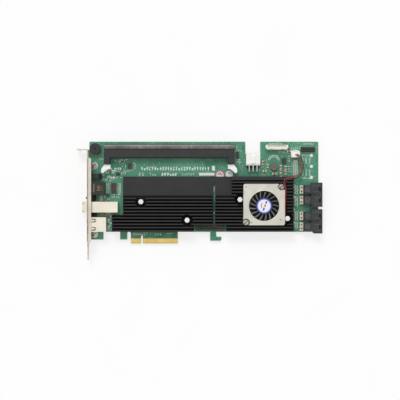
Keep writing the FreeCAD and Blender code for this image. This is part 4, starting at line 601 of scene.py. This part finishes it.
def chip_part(node, name, finish, cap_share, edge):
    """Bodies and tinned end caps in place of plain blocks, with solder at each end: a cap is the body's end,
    cap_share of its length, and stands a little proud; the solder is a low skirt round the cap's foot."""
    boxes = solids_of(node)
    low, high = boxes[:, 0], boxes[:, 1]
    size = high - low
    axis = np.where((size[:, 0] >= size[:, 1])[:, None], (1, 0, 0), (0, 1, 0))
    aside = 1 - axis - UP
    whole = axis * (size * axis).sum(1, keepdims=True)
    cap = cap_share * whole
    slim = aside * 0.04
    body = shells(name + "_bodies", soft_blocks(low + cap * 0.8 + slim, high - cap * 0.8 - slim - UP * 0.04, edge),
                  finish)
    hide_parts(node)
    caps = soft_blocks(low, high - whole + cap, edge), soft_blocks(low + whole - cap, high, edge)
    shells(name + "_end_caps", np.concatenate(caps), tin_plate)
    skirt = aside * 0.1
    foot = axis * 0.4 + skirt
    feet_low = np.concatenate([low - foot, low + whole - cap - skirt])
    feet_high = np.concatenate([high - whole + cap + skirt, high + foot])
    feet_low[:, 2] = face
    feet_high[:, 2] = face + 0.14
    shells(name + "_solder", soft_blocks(feet_low, feet_high, 0.1), solder_tin)
    return boxes


def loose_chips(name, places, size, finish):
    """Small two-ended parts at (x, y, turned) places: a body, two tinned ends and the solder under them."""
    places = np.array(places, float)
    along = np.where(places[:, 2:] > 0, (0, 1, 0), (1, 0, 0))
    aside = 1 - along - UP
    foot = points(places[:, 0], places[:, 1], face)
    half = along * size[0] / 2 + aside * size[1] / 2
    low, high, lift = foot - half, foot + half, UP * size[2]
    shells(name + "_bodies", soft_blocks(low + along * 0.3, high - along * 0.3 + lift, 0.06), finish)
    end, width = along * 0.42, 2 * aside * half
    ends = soft_blocks(low, low + end + width + lift, 0.06), soft_blocks(high - end - width, high + lift, 0.06)
    shells(name + "_ends", np.concatenate(ends), tin_plate)
    skirt, end, width, lift = along * 0.35 + aside * 0.08, along * 0.4, aside * (2 * half + 0.08), UP * 0.12
    pads = (soft_blocks(low - skirt, low + end + width + lift, 0.08),
            soft_blocks(high - end - width, high + skirt + lift, 0.08))
    shells(name + "_pads", np.concatenate(pads), solder_tin)


chip_part("power_capacitors", "power_capacitor", capacitor_ceramic, 0.2, 0.12)
chip_boxes = chip_part("chip_capacitors", "chip_capacitor", small_ceramic, 0.22, 0.08)
resistor_boxes = chip_part("chip_resistors", "chip_resistor", resistor_film, 0.2, 0.05)
CAPACITOR_PLACES = [
    (-22.0, 91.4, 0), (-19.0, 90.2, 1), (-17.0, 91.6, 0), (-8.4, 87.4, 0), (-7.2, 84.8, 1), (-17.8, 84.2, 1),
    (-15.6, 78.9, 0), (-12.4, 79.8, 0), (-38.4, 69.2, 0), (-34.8, 68.3, 0), (-29.2, 71.6, 0), (-22.4, 71.8, 0),
    (-41.0, 51.2, 1), (-36.6, 48.6, 0), (-30.6, 53.4, 0), (-25.2, 53.2, 0), (160.4, 95.2, 0), (160.4, 92.6, 0),
    (160.4, 90.0, 0), (161.0, 84.0, 0), (161.0, 81.2, 0), (161.0, 78.4, 0), (136.2, 90.2, 1), (141.0, 79.6, 1),
    (103.2, 80.2, 1), (106.4, 91.2, 0), (-9.4, 10.8, 0), (-3.6, 10.6, 0), (2.4, 10.9, 1), (5.2, 10.7, 1),
    (78.8, 60.4, 1), (78.8, 57.6, 1), (78.8, 33.4, 1)]
RESISTOR_PLACES = [
    (-24.6, 89.4, 1), (-21.0, 87.2, 0), (-8.0, 82.2, 0), (-19.6, 80.6, 1), (-26.6, 72.0, 1), (-41.6, 75.0, 1),
    (-33.0, 50.9, 0), (-39.2, 47.8, 1), (164.0, 88.0, 1), (164.0, 84.6, 1), (164.0, 81.2, 1), (164.0, 77.8, 1),
    (128.6, 80.4, 1), (131.6, 83.4, 0), (147.6, 76.2, 1), (106.6, 87.0, 1), (-6.6, 10.9, 1), (-0.6, 10.7, 1)]
loose_chips("small_capacitors", CAPACITOR_PLACES, (1.6, 0.85, 0.75), small_ceramic)
loose_chips("small_resistors", RESISTOR_PLACES, (1.5, 0.8, 0.5), resistor_film)


# -------- printing on the board
INK = 0.02          # thickness of a printed stroke or a dark mark
LAYER = 0.012       # lift of each set of strokes over the last, so that no two lie in one plane


def outlines(boxes, margin):
    """Paths of the four sides of plan rectangles a margin outside some boxes."""
    (x0, y0), (x1, y1) = (boxes[:, 0, :2] - margin).T, (boxes[:, 1, :2] + margin).T
    corners = np.stack([points(x0, y0, face), points(x1, y0, face), points(x1, y1, face), points(x0, y1, face)], 1)
    return np.stack([corners, np.roll(corners, -1, 1)], 2).reshape(-1, 2, 3)


def dashes(x0, x1, y0, y1, count):
    """Paths of plain dashes in place of print: a row of cells, each with a low, a middle or a high dash of
    its own length, and between them short upright bars of two heights. Each lies a little over the last."""
    cell = (x1 - x0) / count
    left = x0 + np.arange(count) * cell
    reach = cell * chance.uniform(0.45, 0.75, count)
    level = y0 + (y1 - y0) * chance.choice([0.08, 0.5, 0.92], (3, count))
    top = y0 + (y1 - y0) * chance.choice([0.6, 1.0], count)
    middle = left + reach / 2
    return np.concatenate([bars(left, level[0], left + reach, level[0], face),
                           bars(left, level[1], left + reach, level[1], face + LAYER),
                           bars(middle, y0, middle, top, face + 2 * LAYER)])


def zigzags(columns, y0, y1, reach, turns):
    """Paths of upright zigzag lines: x swings by the reach to and fro at each of evenly spaced heights."""
    x = np.array(columns)[:, None] + reach * (np.arange(turns) % 2 - 0.5)[None]
    return points(x, np.linspace(y0, y1, turns), face)


sink_low, sink_high = box("heatsink")
socket_low, socket_high = box("memory_socket")
choke_low, choke_high = box("inductor")
plug_low, plug_high = box("fan_plug")
inlet_low, inlet_high = box("power_header")
wafer_low, wafer_high = box("wafer_connector")
driver_low, driver_high = box("serial_driver")
jack_low, jack_high = box("serial_jack_body")
shield_low, shield_high = box("network_jack_shield")
cage_low, cage_high = box("external_sas_cage")

# Rows of dashes as (left, right, lower, upper, cells); the bold ones are measured up from a line over the
# heatsink, and the last of them is printed over the second.
row_y = sink_high[1] + 7.4
BOLD_ROWS = [(-0.9, 74.6, -0.3, 3.1, 26), (21.4, 38.8, -6.4, -3.4, 6), (-3.1, 3.4, -6.2, -3.4, 2),
             (21.8, 39.2, -6.0, -3.6, 6)]
bold = [dashes(left, right, row_y + lower, row_y + upper, count) for left, right, lower, upper, count in BOLD_ROWS]
bold[3] += UP * 3 * LAYER
shells("bold_print", ribbons(np.concatenate(bold), 0.72, INK), silk_ink)
fields = np.array([[(76.4, row_y - 0.8, face), (79.7, row_y + 4.4, face + INK)],
                   [(62.3, row_y - 6.2, face), (79.2, row_y - 3.2, face + INK)]])
shells("print_fields", soft_blocks(fields[:, 0], fields[:, 1], 0.01, 0.3), silk_ink)
resistor_x, chip_x = resistor_boxes[:, 0, 0], chip_boxes[:, 0, 0]
THIN_ROWS = [
    (8.9, 16.5, row_y - 6.2, row_y - 3.6, 3), (43.8, 57.9, row_y - 6.0, row_y - 3.8, 6),
    (sink_high[0] - 16, sink_high[0] - 5, wafer_low[1] - 3.4, wafer_low[1] - 1.8, 5),
    (wafer_low[0] + 4, wafer_high[0] - 5, wafer_high[1] + 0.9, wafer_high[1] + 2.1, 9),
    (plug_low[0], plug_high[0] + 2, plug_high[1] + 2.6, plug_high[1] + 5.4, 5),
    (175.0, 184.0, 95.4, 97.0, 4), (175.0, 184.0, 70.6, 72.0, 4), (176.0, 188.0, 108.2, 109.4, 7),
    (-47.0, -38.0, 91.6, 93.2, 4), (-30.0, -22.0, 89.0, 91.4, 4), (-27.0, -17.0, 76.0, 78.6, 5),
    (-44.0, -37.0, 69.4, 70.8, 4), (-9.0, 4.0, 8.6, 10.8, 6), (14.0, 22.0, 9.2, 10.6, 3),
    (27.0, 35.0, 10.2, 11.2, 3), (102.6, 110.0, 100.6, 103.0, 3), (103.0, 109.6, 88.6, 90.0, 3)]
thin = [outlines(resistor_boxes[resistor_x > sink_high[0]], 0.75),
        outlines(resistor_boxes[resistor_x < sink_low[0]], 0.55),
        outlines(chip_boxes[chip_x < 0], 0.6), outlines(chip_boxes[chip_x > sink_high[0] - 3], 0.6)]
thin += [dashes(*row) for row in THIN_ROWS]
shells("thin_print", ribbons(np.concatenate(thin), 0.36, INK), silk_ink)
driver_ends = [driver_low[0] - 5.2, driver_low[0] - 3.4, driver_low[0] - 1.6, driver_high[0] + 1.0,
               driver_high[0] + 2.5]
shells("driver_marks", ribbons(bars(driver_ends, driver_low[1] - 0.6, driver_ends, driver_high[1] + 0.2, face),
                               0.75, INK), grey_ink)
ZIGZAG_COLUMNS = (175.6, 179.4, 183.2)
zigzag_rows = [zigzags(ZIGZAG_COLUMNS, lower, upper, 1.5, 9) for lower, upper in ((87.4, 93.4), (74.2, 80.4))]
shells("zigzag_marks", ribbons(np.concatenate(zigzag_rows), 0.55, INK), silk_ink)
arc = np.radians(np.linspace(10, 172, 19))
choke_middle = (choke_low + choke_high) / 2
arcs = [points(choke_middle[0] + reach * np.cos(arc), choke_high[1] + 3.2 + reach * np.sin(arc), face)
        for reach in (6.2, 4.6)]
shells("curved_marks", ribbons(np.array(arcs), 0.45, INK), silk_ink)

# Two round stickers of radius 4: an orange ring round the first, plain stripes on both.
STICKER = 4.0
ON_STICKER = face + 2 * INK
sticker_at = [(85.2, 74.7, face), (95.4, 75.6, face)]
shells("round_labels", turned(sticker_at, [(STICKER, 0.0), (STICKER, 2 * INK)], 40), label_paper)
shells("label_ring", turned(sticker_at[:1], [(STICKER, 0), (5.1, 0), (5.1, 0.06), (STICKER, 0.06)], 48),
       orange_ink, looped=True)
for name, x0, y0, x1, y1, width, ink in (
        ("label_stripes", (82.6, 84.4), (75.4, 74.9), (84.9, 86.7), (77.9, 77.4), 1.0, blue_ink),
        ("label_band", 86.4, 74.4, 88.0, 76.2, 1.0, orange_ink),
        ("label_dots", (93.4, 93.8), (76.2, 77.6), (97.4, 97.0), (76.2, 77.6), 0.7, grey_ink)):
    shells(name, ribbons(bars(x0, y0, x1, y1, ON_STICKER), width, 0.01), ink)

# -------- bare pads, rings and solder
pad_y = np.arange(75.4, 91.4, 1.27)
pads = [bars(x, pad_y, x + 1.3, pad_y, face) for x in (165.9, 168.1)]
shells("pad_rows", ribbons(np.concatenate(pads), 0.7, 0.04), tin_plate)
frame_x = (165.4, 167.7, 170.0)
shells("pad_frame", ribbons(bars(frame_x, 74.6, frame_x, 91.6, face), 0.3, INK), silk_ink)
board_screws = solids_of("bracket_screws")
shells("screw_pads", turned(middles(board_screws, face), [(3.0, 0), (4.0, 0), (4.0, 0.05), (3.0, 0.05)], 36),
       tin_plate, looped=True)
hole_y = np.array((96.2, 84.2, 72.2))
shells("hole_rings", turned(points(board_high[0] - 7.5, hole_y, face),
                            [(1.25, 0), (1.9, 0), (1.9, 0.04), (1.25, 0.04)], 30), silk_ink, looped=True)
joints = solids_of("solder_joints")
fillet_profile = [(0.16, 0.0), (0.3, 0.08), (0.34, 0.5), (0.5, 0.82), (0.92, 1.08), (0.95, 1.1)]
fillets = shells("solder_fillets", turned(middles(joints, joints[:, 0, 2].min()), fillet_profile, 12), solder_tin,
                 smooth=True)
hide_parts("solder_joints")
legs = solids_of("power_header_pins")
leg_feet = points(legs[:, :, 0].mean(1), legs[:, 0, 1] + 0.5, face)
shells("leg_solder", turned(leg_feet, [(1.15, 0.0), (1.0, 0.1), (0.75, 0.5), (0.6, 0.7)], 16), solder_tin,
       smooth=True)
tail_x = np.arange(-30.6, 91.0, 1.0)
under = [points(tail_x + 0.5 * side, 96.4 + 1.9 * side, back - 0.03) for side in (0, 1)]
shells("socket_tail_joints", turned(np.concatenate(under), [(0.18, -0.75), (0.24, -0.45), (0.42, 0.0), (0.42, 0.03)],
                                    8), solder_tin)

# -------- memory socket
# The rail is 3.6 mm wide and lies 0.9 mm in from the socket's upper edge; its crown is half an ellipse.
rail_y = socket_high[1] - 0.9 - 1.8
roll = np.linspace(0, np.pi, 9)
crown_ends = points(np.array((socket_low[0] + 0.05, socket_high[0] - 0.05))[:, None],
                    rail_y + 2.0 * np.cos(roll), socket_high[2] - 0.12 + 0.55 * np.sin(roll))
# The crown's grey is a painted highlight on the black rail.
shells("socket_crown", crown_ends[None], painted_highlight_nylon, smooth=True)
# A painted shadow along the foot of the rail's step.
shells("socket_step_shadow", ribbons(bars(socket_low[0] + 0.1, rail_y - 2.35, socket_high[0] - 0.1, rail_y - 2.35,
                                          socket_high[2] - 1.08), 0.9, INK), shade_sheet_finish)
# Contacts 1 mm apart in two rows; each is a strip that bows towards the slot's middle level.
contact_x = np.arange(-66.0, 66.5, 1.0) + (socket_low[0] + socket_high[0]) / 2
slot_level = face + 7.1
contact_rows = []
for side in (-1, 1):
    reed = np.array([(0, 93.15, side * 0.66), (0, 94.6, side * 0.56), (0, 96.4, side * 0.3), (0, 98.0, side * 0.62)])
    contact_rows.append(reed[None] + points(contact_x, 0, slot_level - 0.04)[:, None])
shells("socket_contacts", ribbons(np.concatenate(contact_rows), 0.5, 0.08), gold_plate)

# -------- push pins
pins = solids_of("push_pins")
pin_at = middles(pins, 0)
# Springs of 4.5 turns, 2.15 mm in radius, from 4.65 to 8.5 mm above the board.
run = np.linspace(0, 1, 70)
winding = 2 * np.pi * 4.5 * run
coil = points(2.15 * np.cos(winding), 2.15 * np.sin(winding), face + 4.65 + 3.85 * run)
shells("pin_springs", swept(pin_at[:, None] + coil, 0.22, 6), spring_steel, smooth=True)
shells("pin_head_marks", turned(pin_at + UP * pins[:, 1, 2].max(),
                                [(1.2, 0), (1.5, 0), (1.42, 0.06), (1.28, 0.06)], 24),
       white_nylon, looped=True)

# -------- fan
frame_low, frame_high = box("fan_frame")
shaft_low, shaft_high = box("fan_shaft")
rotor_low, rotor_high = box("fan_rotor")
label_top = box("fan_hub_label")[1][2]
hub = (shaft_low + shaft_high) / 2
hub_axis = [(hub[0], hub[1], 0)]
fan_middle = (frame_low + frame_high) / 2
rim = frame_high[2]
cover = rim - 0.35
floor_level = frame_low[2] + 1.0
BORE = 16.32        # inner radius of the rim ring
rim_profile = [(BORE, cover - 0.9), (17.25, cover - 0.02), (17.2, rim - 0.1), (17.05, rim), (16.6, rim),
               (BORE, rim - 0.12)]
shells("bore_rim", turned(hub_axis, rim_profile, 96), fan_casting, smooth=True, looped=True)
dimple_x, dimple_y = np.array([(-19.3, 18.9), (14.6, 18.6), (-13.6, -19.6), (17.6, -16.6)]).T
dimples = points(fan_middle[0] + dimple_x, fan_middle[1] + dimple_y, cover)
shells("cover_dimples", turned(dimples, [(0.62, 0.0), (1.05, 0.0), (0.9, 0.1), (0.62, 0.02)], 20), fan_casting,
       smooth=True, looped=True)
# The dimples' floors are painted shade.
shells("dimple_floors", turned(dimples, [(0.62, 0.0), (0.62, 0.015)], 16), shade_sheet_finish)
# The motor's board is a ring, cut off straight inside the frame's four walls.
motor_board = turned(hub_axis, [(7.0, 0.0), (20.4, 0.0), (20.4, 0.22), (7.0, 0.22)], 64) + UP * floor_level
half_inside = (frame_high[0] - frame_low[0]) / 2 - 1.75
reach = np.clip(motor_board[..., :2] - fan_middle[:2], -half_inside, half_inside)
motor_board[..., :2] = fan_middle[:2] + reach
shells("fan_motor_board", motor_board, black_board, looped=True)


def impeller(blades=17, root=8.9, span=6.65, lean_over=9.0, sweep_back=9.0, half_thickness=0.36):
    """Rings of the fan's blades. A blade is a skin round its section, carried outwards from the hub: up the
    front from its foot to its head and down the back. At a height share t it leans by 9 degrees times t
    cubed, so its head turns over; it sweeps back by 9 degrees, and its section thins towards the head."""
    share = np.array([0.0, 0.35, 0.6, 0.76, 0.87, 0.95, 1.0])
    up = np.concatenate([share, share[::-1]])
    front = np.repeat((1, -1), len(share))
    out = np.linspace(0, 1, 6)[:, None]
    radius = root + span * out
    half = half_thickness * (1.05 - 0.75 * up ** 6) * front
    start = np.arange(blades)[:, None, None] * 2 * np.pi / blades
    angle = start - np.radians(sweep_back) * out ** 1.3 + np.radians(lean_over) * up ** 3 + half / radius
    level = rotor_low[2] + 0.5 + (rotor_high[2] - rotor_low[2] - 0.85) * up
    return points(hub[0] + radius * np.cos(angle), hub[1] + radius * np.sin(angle), level)[:, :, ::-1]


# The hub is a cup, open below, with the shaft's hole in its rounded top.
crest = rotor_high[2]
cup = [(8.4, rotor_low[2]), (9.3, rotor_low[2]), (9.3, crest - 1.3), (9.2, crest - 0.6), (8.95, crest - 0.2),
       (8.6, crest), (0.77, crest), (0.77, crest - 1.4), (8.4, crest - 1.4)]
rotor_cup = shells("impeller_hub", turned(hub_axis, cup, 72), hub_plastic, "fan_rotor",
                   smooth=True, looped=True)
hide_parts("fan_rotor")
shells("impeller_blades", impeller(), blade_painted_light, "fan_rotor", smooth=True)
# Plain bars on the hub's label, from the hub's axis: (from x, from y, to x, to y), width and ink.
for name, marks, width, ink in (
        ("hub_label_bars", [(2.6, 5.2, 1.9, 2.4), (0.0, -1.8, -0.8, -5.2)], 1.7, blue_ink),
        ("hub_label_dots", [(1.5, 1.5, 0.5, -0.9)], 1.7, orange_ink),
        ("hub_label_lines", [(-2.4, 3.4, -3.1, -2.4)], 0.8, violet_ink)):
    x0, y0, x1, y1 = np.array(marks).T
    shells(name, ribbons(bars(hub[0] + x0, hub[1] + y0, hub[0] + x1, hub[1] + y1, label_top), width, INK), ink,
           "fan_rotor")
fan_screws = solids_of("fan_screws")
screw_at = middles(fan_screws, 0)
# Washers under the fan screws: their near-black is partly the steel and partly painted shade round the heads.
shells("screw_washers", turned(screw_at + UP * floor_level, [(2.95, 0.0), (3.75, 0.0), (3.7, 0.35), (2.95, 0.35)],
                               36), washer_shade_steel, looped=True, smooth=True)
# Painted shade on the floors of the driver slots: across each screw's middle, turned by 40 degrees, 2.8 mm to each
# side.
slot_at = np.concatenate([screw_at + UP * (fan_screws[:, 1, 2].max() - 0.94),
                          middles(board_screws, face + 0.96)])
slot_way = np.array([np.cos(np.radians(40.0)), np.sin(np.radians(40.0)), 0]) * 2.8
shells("slot_floors", ribbons(np.stack([slot_at - slot_way, slot_at + slot_way], 1), 0.66, INK), shade_sheet_finish)

# -------- ports and connectors at the bracket
# Eight leads 1.27 mm apart on each side of the driver, from its body down to the board and out.
driver_middle = (driver_low + driver_high) / 2
lead_y = np.arange(8) * 1.27
lead_y = lead_y - lead_y.mean() + driver_middle[1]
bend_x, bend_z = np.array([(2.82, 1.05), (3.25, 1.02), (3.55, 0.75), (3.82, 0.36), (4.1, 0.3), (4.85, 0.3)]).T
lead_rows = [points(driver_middle[0] + side * bend_x, lead_y[:, None], face + bend_z) for side in (-1, 1)]
shells("driver_leads", ribbons(np.concatenate(lead_rows), 0.5, 0.12), tin_plate)
shells("jack_roof_bar", soft_blocks((jack_low[0] + 6.5, jack_low[1] + 3.0, jack_high[2]),
                                    (jack_low[0] + 7.9, jack_high[1] - 2.3, jack_high[2] + 0.12), 0.08),
       comb_brass)
# A comb of seven blocks between the network jack and the cage.
rib_x = np.linspace(shield_low[0] + 2.2, shield_high[0] - 10.4, 8)
shells("port_comb", soft_blocks(points(rib_x[:-1], shield_high[1] + 0.5, face),
                                points(rib_x[1:] - 0.5, cage_low[1] + 0.6, face + 4.2), 0.15), black_plastic)
small_low = np.array([(-45.2, 30.0, face), (-42.4, 30.0, face), (-39.4, 29.8, face), (-36.8, 30.2, face)])
small_size = [(1.7, 3.0, 1.2), (1.5, 2.8, 1.2), (1.7, 3.2, 1.4), (1.3, 2.4, 1.0)]
shells("port_small_parts", soft_blocks(small_low, small_low + small_size, 0.12), small_ceramic)
# Painted shade in the cage's finger slots.
finger_y = np.array((cage_low[1] + 2.1, cage_high[1] - 2.4))
shells("cage_finger_slots", ribbons(bars(cage_low[0] + 0.7, finger_y, cage_low[0] + 2.3, finger_y, cage_high[2]),
                                    0.7, INK), shade_sheet_finish)
# Painted shade filling the organisers' sockets.
strips = solids_of("sas_organisers")
dots = [middles(strips, strips[:, 1, 2] - 2.1) + (0, offset, 0) for offset in (-2.2, 2.2)]
shells("organiser_sockets", turned(np.concatenate(dots), [(0.72, 0.0), (0.72, 0.9)], 12), shade_sheet_finish)

# -------- bracket
bracket_low, bracket_high = box("mounting_bracket")
edge_level = bracket_high[2]
fold_x = bracket_low[0] + 12.3
# Painted shade along the bracket's fold.
shells("bracket_fold", ribbons(bars(fold_x, 2.2, fold_x, 92.4, edge_level), 1.3, INK), fold_shade_steel)
# Painted shade in the bracket's slots.
slot_y = np.array([26.1, 24.0, 17.6, 15.4, 12.8, 60.5, 63.5, 75.2])
shells("bracket_slots", ribbons(bars(fold_x - 0.6, slot_y, fold_x + 0.6, slot_y, edge_level + INK), 0.8, INK),
       shade_sheet_finish)
# Painted light: a pale sheet on the bracket's inner wall beside the board's edge.
shells("bracket_wall_painted_light", soft_blocks((board_low[0] - 0.16, 93.4, face),
                                        (board_low[0] - 0.03, 102.2, edge_level - 0.4), 0.02),
       wall_light_steel)

# -------- drive connectors, jacks and inlet
# Raised pads on the contact bodies, and four ribs along each drive housing, in a paler copy of the connector plastic:
# painted light on their tops.
wafers = solids_of("sas_wafer_bodies")
inset = np.array((1.0, 1.5, 0.0))
pad_low = wafers[:, 0] + inset
pad_low[:, 2] = wafers[:, 1, 2] - 0.2
shells("wafer_body_pads", soft_blocks(pad_low, wafers[:, 1] - inset + UP * 0.3, 0.2), lit_copy_plastic)
rib_share = np.array((0.13, 0.37, 0.63, 0.87))
corners = [solids_of(name)[0] for name in ("upper_sas_housing", "lower_sas_housing")]
rib_low = np.concatenate([points(low[0] + 3.2, low[1] + rib_share * 26.4, high[2] - 0.2) for low, high in corners])
shells("housing_ribs", soft_blocks(rib_low - (0, 0.5, 0), rib_low + (6.4, 0.5, 0.5), 0.2), lit_copy_plastic)
# Painted shade in the cuts round the network shield's two springs: a straight side, a half turn of radius 1.7 and
# back.
bow = np.radians(np.linspace(90, -90, 9))
cut_x = np.concatenate([[-53.6], -50.6 + 1.7 * np.cos(bow), [-53.6]])
cut_y = 1.7 * np.concatenate([[1], np.sin(bow), [-1]])
cuts = points(cut_x, np.array((25.3, 16.4))[:, None] + cut_y, shield_high[2])
shells("shield_spring_cuts", ribbons(cuts, 0.7, INK), shade_sheet_finish)
COMB_LEFT, COMB_RIGHT = -49.4, -44.6
comb_level = jack_high[2] - 0.4
teeth_y = np.array([57.6, 59.3, 61.0, 62.7])
comb = [bars(COMB_LEFT, teeth_y, COMB_RIGHT, teeth_y, comb_level),
        bars(COMB_LEFT, 56.9, COMB_LEFT, 64.2, comb_level)]
shells("jack_comb", ribbons(np.concatenate(comb), 0.6, 0.15), comb_brass)
shells("wafer_lid", soft_blocks((wafer_low[0] + 2.6, wafer_low[1] + 0.7, wafer_high[2] - 0.4),
                                (wafer_high[0] - 2.6, wafer_high[1] - 1.5, wafer_high[2] + 0.25), 0.25),
       pale_nylon)
# Painted shade: black blocks between the inlet's legs, where the shade falls.
shade_x = inlet_low[0] + (inlet_high[0] - inlet_low[0]) * np.array([0.12, 0.37, 0.62, 0.87])
shells("inlet_painted_shade", soft_blocks(points(shade_x - 0.9, inlet_low[1] - 3.0, face),
                                 points(shade_x + 0.9, inlet_low[1] + 0.2, face + 3.4), 0.3), black_plastic)
